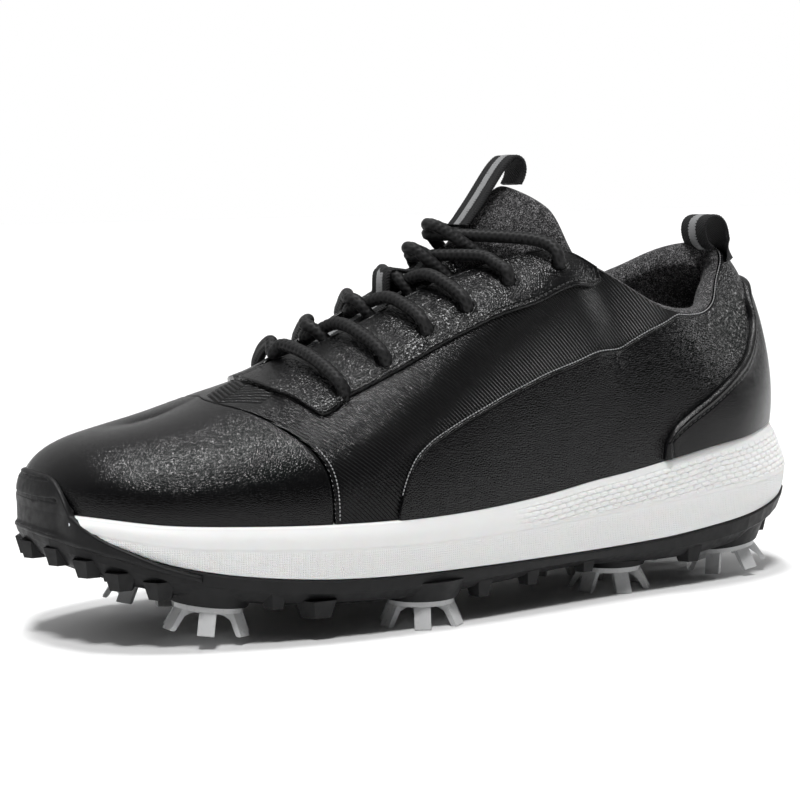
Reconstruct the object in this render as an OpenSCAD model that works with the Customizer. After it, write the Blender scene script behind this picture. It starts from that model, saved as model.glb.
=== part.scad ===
// Spiked golf shoe, left foot, men's EU 43, as an assembly of its real pieces.
// Frame: toe at -X, heel at +X, outer (lateral) side at -Y, inner (medial) side at +Y,
// +Z up, z = 0 on the ground under the cleats.

/* [Upper] */
// Thickness of the base panels
panel_t = 1.4; // [1:0.1:2]
// Thickness of the panels laid over the base
overlay_t = 1.3; // [0.8:0.1:1.8]
// Thickness of the lining
lining_t = 1.2; // [0.8:0.1:2]
// Thickness of the inner stiffeners
stiffener_t = 1.2; // [0.8:0.1:1.6]
// Thickness of the collar foam at its fullest
collar_pad_t = 6; // [4:0.5:8]

/* [Sole] */
// How far the midsole stands out past the upper
sole_out = 3.6; // [2:0.2:5]
// Depth of the midsole cup below its rim
cup_deep = 4; // [3:0.5:6]
// Thickness of the rubber toe bumper
bumper_t = 1; // [0.8:0.1:3]
// Thickness of the shank plate
shank_t = 1.6; // [1:0.1:2.5]

/* [Cleats] */
// Radius of the circle through the cleat tips
cleat_r = 14; // [12:0.5:15]
// Radius of the cleat's thin disc
disc_r = 11.4; // [10:0.1:12]
// Height of a cleat under its receptacle
cleat_h = 9.2; // [7:0.1:11]
// Legs on one cleat
legs = 6; // [4:1:8]
// Radius of the locking stud
stud_r = 5; // [4:0.1:6]
// Running clearance between stud and receptacle
stud_gap = 0.06; // [0.02:0.01:0.1]

/* [Laces] */
// Lace diameter
lace_d = 4; // [3.5:0.1:5.5]
// Radius of a punched eyelet
eyelet_r = 2.5; // [2:0.1:3]

/* [Webbing] */
// Width of the heel tab
tab_w = 16; // [12:1:20]
// Width of the tongue strip
strip_w = 13; // [8:1:16]
// Width of the tongue's pull loop
loop_w = 15; // [8:1:18]
// Thickness of the webbing
web_t = 1.5; // [1:0.1:2]

/* [Hidden] */

rubber = [0.07, 0.07, 0.08];
foam_white = [0.95, 0.95, 0.94];
leather = [0.10, 0.10, 0.11];
leather_2 = [0.13, 0.13, 0.14];
heather = [0.25, 0.25, 0.27];
grey = [0.62, 0.63, 0.66];
web = [0.05, 0.05, 0.05];
board = [0.75, 0.70, 0.60];

// The upper's stations, counted from the toe tip round the outer side to the heel and back.
// Each row: foot x, y, z, top x, y, z, then the curve between: lower bulge out and up,
// upper bulge out and down.
STATIONS = [
    [-146.5, 8.5, 45.5, -108, 6.5, 69, 2, 16, 27, 1],
    [-143, -8.5, 45, -106, 6.5, 69.5, 2, 16, 27, 1],
    [-133, -23.5, 44, -101.5, 6.5, 71, 2, 16, 27, 1],
    [-114, -36.5, 41.5, -94, 5.5, 74, 2.5, 18, 27, 1.5],
    [-89, -44.5, 40, -83, 4.5, 78.5, 3, 21, 30, 2],
    [-64, -49, 39, -64, 3.5, 85, 3, 25, 29, 4],
    [-36, -50, 38.5, -36, -7.5, 97, 3.5, 36, 24, 6],
    [-8, -47, 39, -8, -11.5, 110.5, 3.5, 47, 24, 6],
    [20, -42.5, 41, 20, -16.5, 119.5, 3, 54, 18, 5],
    [43, -39, 44, 42, -21.5, 123.5, 2.5, 52, 11, 8],
    [61, -36.5, 46, 59, -27, 115.5, 3, 28, 7, 22],
    [80, -35, 49, 79, -29.5, 103.5, 2, 22, 4, 18],
    [98, -33, 52, 96, -26, 100, 2, 18, 5, 16],
    [114, -29, 54, 109, -18, 102.5, 2.5, 18, 8, 16],
    [127, -21.5, 56, 117, -9.5, 110.5, 3, 20, 10, 15],
    [137, -11, 57, 123, -3.5, 117.5, 3, 20, 12, 12],
    [141, 1.5, 57.5, 125, 1.5, 121.5, 3, 21, 14, 9],
    [137, 14, 57, 123, 6.5, 123, 3, 20, 12, 12],
    [127, 24.5, 56, 117, 13, 122.5, 3, 20, 10, 15],
    [114, 31, 54, 109, 21.5, 119.5, 2.5, 18, 8, 16],
    [98, 33.5, 52, 96, 28.5, 113.5, 2, 18, 5, 16],
    [80, 35, 49, 79, 32, 109, 2, 22, 4, 18],
    [61, 35, 46, 59, 30.5, 117.5, 3, 28, 6, 22],
    [43, 36, 44, 42, 24.5, 123.5, 2.5, 52, 9, 8],
    [20, 38.5, 41, 20, 21.5, 119.5, 3, 54, 14, 5],
    [-8, 42.5, 39, -8, 17.5, 110.5, 3.5, 47, 20, 6],
    [-36, 47.5, 38.5, -36, 13.5, 97, 3.5, 36, 22, 6],
    [-64, 50, 39, -64, 3.5, 85, 3, 25, 29, 4],
    [-89, 49, 40, -83, 4.5, 78.5, 3, 21, 30, 2],
    [-115, 42.5, 41.5, -94, 5.5, 74, 2.5, 18, 27, 1.5],
    [-134, 32, 44, -101.5, 6.5, 71, 2, 16, 27, 1],
    [-144, 21.5, 45, -106, 6.5, 69.5, 2, 16, 27, 1]
];
N = len(STATIONS);
heel_u = N / 2;
throat_u = 5;
collar_u = 9.6;

// Heights of the sole's lines along X: the ridge, the rubber's upper edge, the underside.
RIDGE_Z = [[-151, 43], [-118, 35.4], [-91, 32.7], [-39, 30.3], [2, 30.3], [48, 32], [82, 34],
    [120, 37], [151, 41]];
LINE_Z = [[-151, 40], [-130, 33.5], [-113, 28], [-94, 24], [-67, 21], [-43, 19.9], [25, 19],
    [71, 19.7], [100, 22.3], [120, 25.4], [151, 33]];
BASE_Z = [[-151, 34], [-146, 29], [-131, 23], [-113, 18], [-90, 14], [-66, 11.6], [-30, 10.6],
    [2, 11.2], [37, 12.8], [72, 11], [100, 11.4], [128, 15.5], [142, 20], [151, 28]];

// The cleats: x, y, height of the disc's seat, tilt about Y, turn about its own axis.
CLEATS = [
    [-98, -28.5, 13, 8, 8], [-98, 32, 13, 8, -20],
    [-24, -38, 9.2, 0, 5], [-40, 35, 9.2, 0, 28],
    [64, -19, 9.2, 0, 20], [64, 23, 9.2, 0, 40],
    [118, -15, 12, -9, 33], [118, 19.5, 12, -9, 12]
];

function wrap(i, n) = ((i % n) + n) % n;
function crom(a, b, c, d, f) = 0.5 * (2 * b + (c - a) * f + (2 * a - 5 * b + 4 * c - d) * f * f
    + (3 * b - a - 3 * c + d) * f * f * f);
function around(rows, u) = let (n = len(rows), i = floor(u), f = u - i)
    crom(rows[wrap(i - 1, n)], rows[wrap(i, n)], rows[wrap(i + 1, n)], rows[wrap(i + 2, n)], f);
function seg(rows, x, i = 0) = i >= len(rows) - 2 || x < rows[i + 1][0] ? i : seg(rows, x, i + 1);
function slope(rows, i) = let (a = rows[max(0, i - 1)], b = rows[min(len(rows) - 1, i + 1)])
    (b[1] - a[1]) / (b[0] - a[0]);
function along(rows, x0) = let (x = min(max(x0, rows[0][0]), rows[len(rows) - 1][0]),
    i = seg(rows, x), h = rows[i + 1][0] - rows[i][0], f = (x - rows[i][0]) / h)
    (2 * f ^ 3 - 3 * f ^ 2 + 1) * rows[i][1] + (f ^ 3 - 2 * f ^ 2 + f) * h * slope(rows, i)
    + (3 * f ^ 2 - 2 * f ^ 3) * rows[i + 1][1] + (f ^ 3 - f ^ 2) * h * slope(rows, i + 1);
function bezier(a, b, c, d, t) = (1 - t) ^ 3 * a + 3 * (1 - t) ^ 2 * t * b + 3 * (1 - t) * t ^ 2 * c
    + t ^ 3 * d;
function from_toe(u) = let (w = u - N * floor(u / N)) min(w, N - w);
function unit(v) = v / norm(v);
function mix(a, b, t) = a + (b - a) * t;
function steps(a, b, n) = [for (i = [0:n]) a + (b - a) * i / n];

// The upper's base surface: u runs round the shoe, v from the sole up to the top line.
function upper(u, v) = let (k = around(STATIONS, u), w = from_toe(u),
    foot = [k[0], k[1], k[2]], top = [k[3], w <= throat_u ? 6.5 - 0.6 * w : k[4], k[5]],
    out = unit([foot.x - top.x, foot.y - top.y, 0]))
    bezier(foot, foot + k[6] * out + [0, 0, k[7]], top + k[8] * out - [0, 0, k[9]], top, v);
function skin_normal(u, v) = let (e = 0.03, w = min(v, 0.985),
    a = upper(u + e, w) - upper(u - e, w), b = upper(u, w + 0.015) - upper(u, max(0, w - e)))
    unit(cross(a, b));
// A point d outside the base surface; on the closed toe the crest's normal is upright.
function skin(u, v, d) = upper(u, v)
    + d * (v > 0.999 && from_toe(u) < throat_u + 0.01 ? [0, 0, 1] : skin_normal(u, v));
// The sole's plan outline, d outside the upper's foot.
function plan(u, d) = let (p = around(STATIONS, u), q = around(STATIONS, u + 0.05)
    - around(STATIONS, u - 0.05)) [p[0], p[1]] + d * unit([q[1], -q[0]]);

// A closed shell between two grids of points that have the same size.
module shell(outer, inner) {
    rows = len(outer);
    cols = len(outer[0]);
    flat = [for (g = [outer, inner]) for (r = g) for (p = r) p];
    function o(r, c) = r * cols + c;
    function i(r, c) = rows * cols + r * cols + c;
    faces = [
        for (r = [0:rows - 2]) for (c = [0:cols - 2]) each [
            [o(r, c), o(r, c + 1), o(r + 1, c + 1)], [o(r, c), o(r + 1, c + 1), o(r + 1, c)],
            [i(r, c), i(r + 1, c + 1), i(r, c + 1)], [i(r, c), i(r + 1, c), i(r + 1, c + 1)]],
        for (r = [0:rows - 2]) each [
            [o(r, 0), o(r + 1, 0), i(r + 1, 0)], [o(r, 0), i(r + 1, 0), i(r, 0)],
            [o(r, cols - 1), i(r + 1, cols - 1), o(r + 1, cols - 1)],
            [o(r, cols - 1), i(r, cols - 1), i(r + 1, cols - 1)]],
        for (c = [0:cols - 2]) each [
            [o(0, c), i(0, c + 1), o(0, c + 1)], [o(0, c), i(0, c), i(0, c + 1)],
            [o(rows - 1, c), o(rows - 1, c + 1), i(rows - 1, c + 1)],
            [o(rows - 1, c), i(rows - 1, c + 1), i(rows - 1, c)]]
    ];
    polyhedron(flat, faces);
}

// A solid from a stack of closed rings; each end is capped across from side to side.
module stack(rings) {
    n = len(rings[0]);
    m = len(rings);
    h = n / 2;
    function p(k, i) = k * n + i % n;
    caps = [for (i = [0:h - 1]) let (j = n - i, a = i, b = i + 1, c = j - 1, d = j % n) [a, b, c, d]];
    faces = [
        for (k = [0:m - 2]) for (i = [0:n - 1]) each [
            [p(k, i), p(k, i + 1), p(k + 1, i + 1)], [p(k, i), p(k + 1, i + 1), p(k + 1, i)]],
        for (q = caps) each concat(
            q[1] == q[2] ? [] : [[q[2], q[1], q[0]]], q[0] == q[3] ? [] : [[q[3], q[2], q[0]]]),
        for (q = caps) let (t = (m - 1) * n) each concat(
            q[1] == q[2] ? [] : [[t + q[0], t + q[1], t + q[2]]],
            q[0] == q[3] ? [] : [[t + q[0], t + q[2], t + q[3]]])
    ];
    polyhedron([for (r = rings) for (q = r) q], faces);
}

// A patch of the upper: rows along u, with the low and high edge of v given for each row.
module patch(us, lo, hi, cols, d_in, d_out) {
    function vv(i, c) = mix(lo[i], hi[i], c / cols);
    shell([for (i = [0:len(us) - 1]) [for (c = [0:cols]) skin(us[i], vv(i, c), d_out)]],
        [for (i = [0:len(us) - 1]) [for (c = [0:cols]) skin(us[i], vv(i, c), d_in)]]);
}

// The same, folded over the toe: rows run back from the toe tip, columns cross from the
// outer foot over the crest to the inner foot. ends[c] is the u where column c stops.
module toe_shell(start, ends, rows, d_in, d_out) {
    cols = len(ends) - 1;
    half = cols / 2;
    function p(r, c, d) = let (side = c <= half ? 1 : -1, v = c <= half ? c / half
        : (cols - c) / half) skin(side * mix(start, ends[c], r / rows), v, d);
    if (start > 0)
        shell([for (r = [0:rows]) [for (c = [0:cols]) p(r, c, d_out)]],
            [for (r = [0:rows]) [for (c = [0:cols]) p(r, c, d_in)]]);
    else
        folded([for (r = [0:rows]) [for (c = [0:cols]) p(r, c, d_out)]],
            [for (r = [0:rows]) [for (c = [0:cols]) p(r, c, d_in)]]);
}

// A shell whose first row is folded at its middle, so that both halves share its points.
module folded(outer, inner) {
    rows = len(outer);
    cols = len(outer[0]);
    half = (cols - 1) / 2;
    size = half + 1 + (rows - 1) * cols;
    function o(r, c) = r == 0 ? min(c, cols - 1 - c) : half + 1 + (r - 1) * cols + c;
    function i(r, c) = size + o(r, c);
    function pts(g) = [for (r = [0:rows - 1]) for (c = [0:(r == 0 ? half : cols - 1)]) g[r][c]];
    faces = [
        for (r = [0:rows - 2]) for (c = [0:cols - 2]) each [
            [o(r, c), o(r, c + 1), o(r + 1, c + 1)], [o(r, c), o(r + 1, c + 1), o(r + 1, c)],
            [i(r, c), i(r + 1, c + 1), i(r, c + 1)], [i(r, c), i(r + 1, c), i(r + 1, c + 1)]],
        for (r = [0:rows - 2]) each [
            [o(r, 0), o(r + 1, 0), i(r + 1, 0)], [o(r, 0), i(r + 1, 0), i(r, 0)],
            [o(r, cols - 1), i(r + 1, cols - 1), o(r + 1, cols - 1)],
            [o(r, cols - 1), i(r, cols - 1), i(r + 1, cols - 1)]],
        for (c = [0:cols - 2]) each [
            [o(rows - 1, c), o(rows - 1, c + 1), i(rows - 1, c + 1)],
            [o(rows - 1, c), i(rows - 1, c + 1), i(rows - 1, c)]]
    ];
    polyhedron(concat(pts(outer), pts(inner)), faces);
}
function rev(list) = [for (i = [len(list) - 1:-1:0]) list[i]];

// A side panel. rows: [[u at the foot edge, u at the top edge, v low, v high], ...];
// inner = true mirrors it to the inner side of the shoe.
module panel(rows, cols, d_in, d_out, inner) {
    function at(r, c, d) = let (k = c / cols, u = mix(r[0], r[1], k), v = mix(r[2], r[3], k))
        skin(inner ? N - u : u, v, d);
    g = [for (d = [d_out, d_in]) [for (r = rows) [for (c = [0:cols]) at(r, c, d)]]];
    if (inner)
        shell(rev(g[0]), rev(g[1]));
    else
        shell(g[0], g[1]);
}

// Where the toe vamp meets the side wrap: u for a given v.
VAMP_EDGE = [[0, 5.1], [0.22, 5.08], [0.36, 4.95], [0.5, 4.7], [0.64, 4.4], [0.8, 3.98],
    [0.9, 3.8], [1, 3.72]];
// The eyestay's lower edge and the quarter's upper edge: v for a given u.
EYESTAY_EDGE = [[4.6, 0.97], [4.82, 0.78], [5.03, 0.65], [5.22, 0.51], [5.65, 0.555],
    [6.5, 0.58], [7.5, 0.596], [8.4, 0.606], [9.25, 0.73], [9.8, 0.93]];
QUARTER_EDGE = [[5.9, 0.02], [5.95, 0.08], [6.05, 0.145], [6.2, 0.198], [6.5, 0.238],
    [7.35, 0.281], [8, 0.303], [9.08, 0.362], [10.26, 0.678], [11.1, 0.9], [11.5, 0.975],
    [16, 0.975]];
HEEL_EDGE = [[10.75, 0.1], [11, 0.187], [11.83, 0.34], [12.8, 0.476], [13.9, 0.54],
    [14.5, 0.61], [14.8, 0.7], [15.3, 0.74], [16, 0.75]];
// The punched eyelets, from the toe end up: u, v.
EYELETS = [[5.55, 0.6], [6.12, 0.66], [6.72, 0.7], [7.26, 0.72], [7.91, 0.78], [8.78, 0.82]];

ply_gap = 0.35;
over_d = panel_t + ply_gap;
top_d = over_d + overlay_t;
under_t = lining_t + stiffener_t + 2 * ply_gap;

// ---- Sole ----
rim_gap = 0.25;
RING_U = let (side = concat([0, 0.5, 1, 1.5, 1.62], steps(2, heel_u, 28)))
    concat(side, [for (i = [len(side) - 2:-1:1]) N - side[i]]);
function heel_flare(u) = let (w = from_toe(u), t = min(max((w - 11.5) / 3.5, 0), 1))
    6 * t * t * (3 - 2 * t);
// The midsole is cut back behind the toe bumper, which is part of the outsole.
function side_out(u, d, cut) = cut && from_toe(u) < 1.55 ? min(d, 0.3) : d;
function foot_z(u) = around(STATIONS, u)[2];
function rim_ring(d, dz, flare = 0) = [for (u = RING_U)
    let (p = plan(u, side_out(u, d + flare * heel_flare(u), true))) [p.x, p.y, foot_z(u) + dz]];
function ring_between(a, b, k, d, dz = 0, flare = 0, cut = false) = [for (u = RING_U)
    let (p = plan(u, side_out(u, d + flare * heel_flare(u), cut)))
    [p.x, p.y, mix(along(a, p.x), along(b, p.x), k) + dz]];
function ring(rows, d, dz = 0, flare = 0, cut = false) = ring_between(rows, rows, 0, d, dz, flare,
    cut);

module on_cleats(which = [0:7]) {
    for (i = which) translate([CLEATS[i][0], CLEATS[i][1], CLEATS[i][2]])
        rotate([0, CLEATS[i][3], 0]) rotate(CLEATS[i][4]) children();
}

bumper_u = 1.56;
// How far up the toe the bumper reaches at each u.
BUMPER_EDGE = [[0, 0.23], [0.85, 0.22], [1.05, 0.18], [1.2, 0.14], [1.42, 0.07], [1.56, 0.03]];
// The rows above the foot's rim, as a share of that reach, with how much thinner each is.
BUMPER_ROWS = [[0.2, 0], [0.5, 0.1], [0.8, 0.3], [1, 0.5]];
module bumper() {
    us = steps(-bumper_u, bumper_u, 14);
    vamp_gap = panel_t - 0.25;
    function low(u, k, d) = let (p = plan(u, d), z = along(LINE_Z, p.x))
        [p.x, p.y, mix(z - 2.5, foot_z(u), k)];
    function col(u, d, thin) = concat([for (k = [0, 0.4, 0.8]) low(u, k, d)],
        [for (r = BUMPER_ROWS) skin(u, r[0] * along(BUMPER_EDGE, abs(u)), d + vamp_gap - thin * r[1])]);
    shell([for (u = us) col(u, 0.6 + bumper_t, 1)], [for (u = us) col(u, 0.6, 0.2)]);
}

module lug(u, d, z, r, h) {
    p = plan(u, d);
    translate([p.x, p.y, z]) cylinder(h = h, r1 = r * 0.7, r2 = r, $fn = 6);
}

module outsole() {
    color(rubber) difference() {
        union() {
            stack([ring(LINE_Z, sole_out - 0.4, -0.15, 0.9), ring(LINE_Z, sole_out + 0.3, -0.8, 1),
                ring_between(LINE_Z, BASE_Z, 0.5, sole_out - 0.6, 0, 0.8),
                ring(BASE_Z, -0.5, 1.2, 0.2), ring(BASE_Z, -4)]);
            bumper();
            on_cleats() cylinder(h = 7, r1 = 12.8, r2 = 16.5);
            outsole_lugs();
        }
        on_cleats() {
            translate([0, 0, -1]) cylinder(h = 8.2, r = 8.1);
            translate([0, 0, -1]) cylinder(h = 2.2, r = 10.3);
        }
    }
}

// Traction lugs: u, distance from the edge, height of the tip, radius.
LUGS = [[0, -1, 27.5, 5.5], [1, -1, 27, 5.5], [31, -1, 27, 5.5], [1.75, -1, 24, 6],
    [30.25, -1, 24, 6], [2.3, -1.5, 20, 6], [29.7, -1.5, 20, 6], [2.85, -2, 17, 6],
    [29.15, -2, 17, 6], [4.3, -2, 12, 5], [27.7, -2, 12, 5], [4.9, -4, 7.8, 8],
    [27.1, -4, 7.8, 8], [7.15, -3, 8.2, 5.5], [24.85, -3, 8.2, 5.5], [7.9, -2.5, 9.6, 5],
    [24.1, -2.5, 9.6, 5], [9, -3, 10.8, 5], [23, -3, 10.8, 5], [11.6, -3, 9.2, 6],
    [20.4, -3, 9.2, 6], [14.7, -1, 14.6, 5], [17.3, -1, 14.6, 5], [16, 0, 17, 5.5]];
module outsole_lugs() {
    for (k = LUGS) lug(k[0], k[1], k[2], k[3], 6);
    for (x = [-124, -111, -72, -58, -8, 6, 84, 98]) for (y = [-9, 2.5, 14])
        translate([x, y, along(BASE_Z, x) - 1]) cylinder(h = 4, r1 = 3.4, r2 = 4.4, $fn = 6);
}

module midsole() {
    color(foam_white) difference() {
        stack([rim_ring(-5.5, -cup_deep), rim_ring(-5, -rim_gap),
            rim_ring(sole_out - 1, -rim_gap, 0.1), rim_ring(sole_out - 0.1, -1.2, 0.2),
            ring(RIDGE_Z, sole_out + 0.9, 0, 1, true),
            ring_between(RIDGE_Z, LINE_Z, 0.5, sole_out + 0.4, 0, 1.1, true),
            ring(LINE_Z, sole_out - 0.4, 0, 0.9, true)]);
        translate([28, 2.5, 15]) cube_plate(76, 26, 6.9 + shank_t);
    }
}

module cube_plate(l, w, h) { linear_extrude(h) offset(4) square([l - 8, w - 8], center = true); }
module shank_plate() {
    color([0.2, 0.2, 0.22]) translate([28, 2.5, 20.2]) cube_plate(75.4, 25.4, shank_t);
}
module insole_board() {
    color(board) stack([rim_ring(-5.9, 2 - cup_deep), rim_ring(-5.9, 0.1 - cup_deep)]);
}
module sockliner() {
    color(heather) stack([rim_ring(-7.5, 1.4), rim_ring(-5.9, 0.4), rim_ring(-5.9, 2.1 - cup_deep)]);
}

module receptacles() {
    color([0.3, 0.3, 0.32]) on_cleats() difference() {
        union() {
            cylinder(h = 7, r = 8.1);
            cylinder(h = 1.2, r = 10.3);
        }
        translate([0, 0, -1]) cylinder(h = 7, r = stud_r + stud_gap);
    }
}

// One cleat, its seat at z = 0: locking stud above, thin disc and flared legs below.
module cleat() {
    disc_z = 0.3;
    disc_t = 1.7;
    translate([0, 0, -disc_z - disc_t]) cylinder(h = disc_t, r = disc_r);
    translate([0, 0, -disc_z - disc_t]) cylinder(h = 7.2, r = stud_r);
    translate([0, 0, -disc_z - disc_t - 1]) cylinder(h = 1.01, r = 6.4);
    for (i = [0:legs - 1]) rotate(i * 360 / legs) {
        rotate([90, 0, 0]) translate([0, 0, -2.8]) linear_extrude(5.6) polygon([
            [disc_r - 2.4, -disc_z - disc_t + 0.01], [disc_r - 0.05, -disc_z - disc_t + 0.01],
            [cleat_r + 0.9, -cleat_h + 0.3], [cleat_r + 0.4, -cleat_h],
            [cleat_r - 0.6, -cleat_h], [cleat_r - 1.2, -cleat_h + 0.5]]);
        rotate([90, 0, 0]) translate([0, 0, -0.7]) linear_extrude(1.4) polygon([
            [3, -disc_z - disc_t + 0.01], [disc_r - 2, -disc_z - disc_t + 0.01],
            [cleat_r - 1, -cleat_h + 0.9], [11.3, -6.6], [9.4, -4.7], [6.8, -3.5], [3, -3]]);
    }
}
module one_cleat(i) { color(grey) on_cleats([i]) cleat(); }
module cleat_front_outer() { one_cleat(0); }
module cleat_front_inner() { one_cleat(1); }
module cleat_ball_outer() { one_cleat(2); }
module cleat_ball_inner() { one_cleat(3); }
module cleat_heel_outer() { one_cleat(4); }
module cleat_heel_inner() { one_cleat(5); }
module cleat_back_outer() { one_cleat(6); }
module cleat_back_inner() { one_cleat(7); }

// ---- Upper ----
vamp_cols = 20;
module toe_vamp() {
    ends = [for (c = [0:vamp_cols]) along(VAMP_EDGE, 1 - abs(c / vamp_cols * 2 - 1)) - 0.02];
    color(leather) toe_shell(0, ends, 11, 0, panel_t);
}
module toe_puff() {
    ends = [for (c = [0:vamp_cols]) 3.2 - 0.6 * (1 - abs(c / vamp_cols * 2 - 1))];
    color(board) toe_shell(0, ends, 6, -stiffener_t - ply_gap, -ply_gap);
}
module vamp_lining() {
    ends = [for (c = [0:vamp_cols]) throat_u - 0.02];
    color(heather) toe_shell(0, ends, 8, -under_t, -under_t + lining_t);
}

// The eyelet holes of one side, along the surface's normal.
module eyelet_holes(inner, r = eyelet_r) {
    for (e = EYELETS) {
        u = inner ? N - e[0] : e[0];
        n = skin_normal(u, e[1]);
        translate(skin(u, e[1], -6)) rotate([0, acos(n.z), atan2(n.y, n.x)]) cylinder(h = 13, r = r);
    }
}
module side_wrap(inner) {
    us = concat([0, 0.06, 0.12, 0.18, 0.25, 0.33], steps(0.39, 0.9985, 20));
    function row(s) = [for (c = [0:8]) let (v = c / 8, u = mix(along(VAMP_EDGE, v), heel_u, s))
        [inner ? N - u : u, v]];
    g = [for (d = [panel_t, 0]) [for (s = us) [for (q = row(s)) skin(q[0], q[1], d)]]];
    color(leather_2) difference() {
        shell(inner ? rev(g[0]) : g[0], inner ? rev(g[1]) : g[1]);
        eyelet_holes(inner);
    }
}
module wrap_outer() { side_wrap(false); }
module wrap_inner() { side_wrap(true); }

module eyestay(inner) {
    us = [4.6, 4.82, 5.03, 5.22, 5.5, 5.8, 6.2, 6.6, 7, 7.4, 7.8, 8.2, 8.6, 9, 9.4, 9.75];
    color(leather) difference() {
        panel([for (u = us) [u, u, along(EYESTAY_EDGE, u), 1]], 6, over_d + 0.28, top_d,
            inner);
        eyelet_holes(inner);
    }
}
module eyestay_outer() { eyestay(false); }
module eyestay_inner() { eyestay(true); }

module quarter(inner) {
    us = concat([5.9, 5.95, 6.05, 6.2, 6.5, 7], steps(7.5, 15.5, 16), [15.985]);
    color(leather)
        panel([for (u = us) [u, u, 0, along(QUARTER_EDGE, u)]], 5, over_d, top_d, inner);
}
module quarter_outer() { quarter(false); }
module quarter_inner() { quarter(true); }

module heel_overlay() {
    side = [10.75, 11, 11.4, 11.83, 12.3, 12.8, 13.4, 13.9, 14.5, 14.8, 15.1, 15.5, 16];
    us = concat(side, [for (i = [len(side) - 2:-1:0]) N - side[i]]);
    color(leather) patch(us, [for (u = us) 0.01], [for (u = us) along(HEEL_EDGE, from_toe(u))], 4,
        top_d + ply_gap, top_d + ply_gap + overlay_t);
}
module heel_counter() {
    us = steps(11.4, 20.6, 18);
    color(board) patch(us, [for (u = us) 0.01],
        [for (u = us) 0.3 + 0.3 * sin(180 * (u - 11.4) / 9.2)], 4, -stiffener_t - ply_gap,
        -ply_gap);
}

module side_lining(inner) {
    us = steps(throat_u, 9.5, 9);
    color(heather) difference() {
        panel([for (u = us) [u, u, 0, 1]], 8, -under_t, -under_t + lining_t, inner);
        eyelet_holes(inner);
    }
}
module lining_outer() { side_lining(false); }
module lining_inner() { side_lining(true); }

function pad(u, v) = let (k = min(1, max(0, (from_toe(u) - 9.6) / 1.6)), t = min(1, max(0, (v - 0.35) / 0.3)))
    collar_pad_t * k * t * t * (3 - 2 * t) * (v > 0.93 ? 0.8 : 1);
collar_us = concat([9.55, 9.8, 10.2], steps(10.7, 21.3, 20), [21.8, 22.2, 22.45]);
module collar_foam() {
    vs = [0.42, 0.5, 0.6, 0.7, 0.8, 0.9, 1];
    us = [for (u = collar_us) if (from_toe(u) > 9.9) u];
    color([0.5, 0.5, 0.52]) shell(
        [for (u = us) [for (v = vs) skin(u, v, -under_t + lining_t - 0.05)]],
        [for (u = us) [for (v = vs) skin(u, v, -under_t + lining_t - 0.1 - 0.3 - pad(u, v))]]);
}
module collar_lining() {
    vs = [0, 0.15, 0.3, 0.42, 0.5, 0.6, 0.7, 0.8, 0.9, 1];
    function d(u, v) = -under_t + lining_t - 0.1 - (v < 0.4 || from_toe(u) < 9.9 ? 0 : 0.4) - pad(u, v);
    color(heather) shell([for (u = collar_us) [for (v = vs) skin(u, v, d(u, v))]],
        [for (u = collar_us) [for (v = vs) skin(u, v, d(u, v) - lining_t + 0.1)]]);
}

// ---- Tongue ----
mid_y = 2.5;
heel_y = 1.5;
// Rows from the toe end up: centre x, z, shoulder x, y, z, edge x, y, z.
TONGUE = [
    [-72, 73, -72, 10, 68, -72, 20, 60], [-62, 79, -62, 10, 71.5, -62, 21, 64],
    [-50, 87.5, -50, 10, 77.5, -50, 22, 68], [-36, 95.5, -36, 10, 84, -36, 24, 72],
    [-20, 103.5, -20, 10.5, 91, -20, 25, 79], [-8, 111, -8, 11.5, 97, -8, 25.5, 84],
    [4, 122, 7, 12.5, 103, 13, 24, 91], [14, 132, 19, 14, 110.5, 29, 23, 99],
    [24, 142, 31, 16, 126, 41, 22, 110], [33, 149.5, 43.5, 16, 140.5, 51, 21.5, 123.5]];
tongue_n = len(TONGUE) - 1;
function open_row(rows, s) = let (n = len(rows), i = min(n - 2, floor(s)), f = s - i)
    crom(i == 0 ? 2 * rows[0] - rows[1] : rows[i - 1], rows[i], rows[i + 1],
        i == n - 2 ? 2 * rows[n - 1] - rows[n - 2] : rows[i + 2], f);
function tongue_at(s, q) = let (r = open_row(TONGUE, s),
    side = [[r[5], -r[6], r[7]], [r[2], -r[3], r[4]], [r[0], 0, r[1]], [r[2], r[3], r[4]],
        [r[5], r[6], r[7]]]) open_row(side, q + 2) + [0, mid_y, 0];
function tongue_skin(s, q, d) = let (e = 0.04,
    a = tongue_at(min(s + e, tongue_n), q) - tongue_at(max(0, s - e), q),
    b = tongue_at(s, min(2, q + e)) - tongue_at(s, max(-2, q - e)))
    tongue_at(s, q) + d * unit(cross(a, b));

module tongue_body() {
    ss = steps(0, tongue_n, 14);
    qs = steps(-2, 2, 10);
    color(heather) shell([for (s = ss) [for (q = qs) tongue_skin(s, q, 0)]],
        [for (s = ss) [for (q = qs) tongue_skin(s, q, -4)]]);
}
module tongue_face() {
    ss = steps(1.5, 6.4, 10);
    qs = steps(-1.1, 1.1, 6);
    color(leather) shell([for (s = ss) [for (q = qs) tongue_skin(s, q, 1.2)]],
        [for (s = ss) [for (q = qs) tongue_skin(s, q, 0.25)]]);
}

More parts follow.
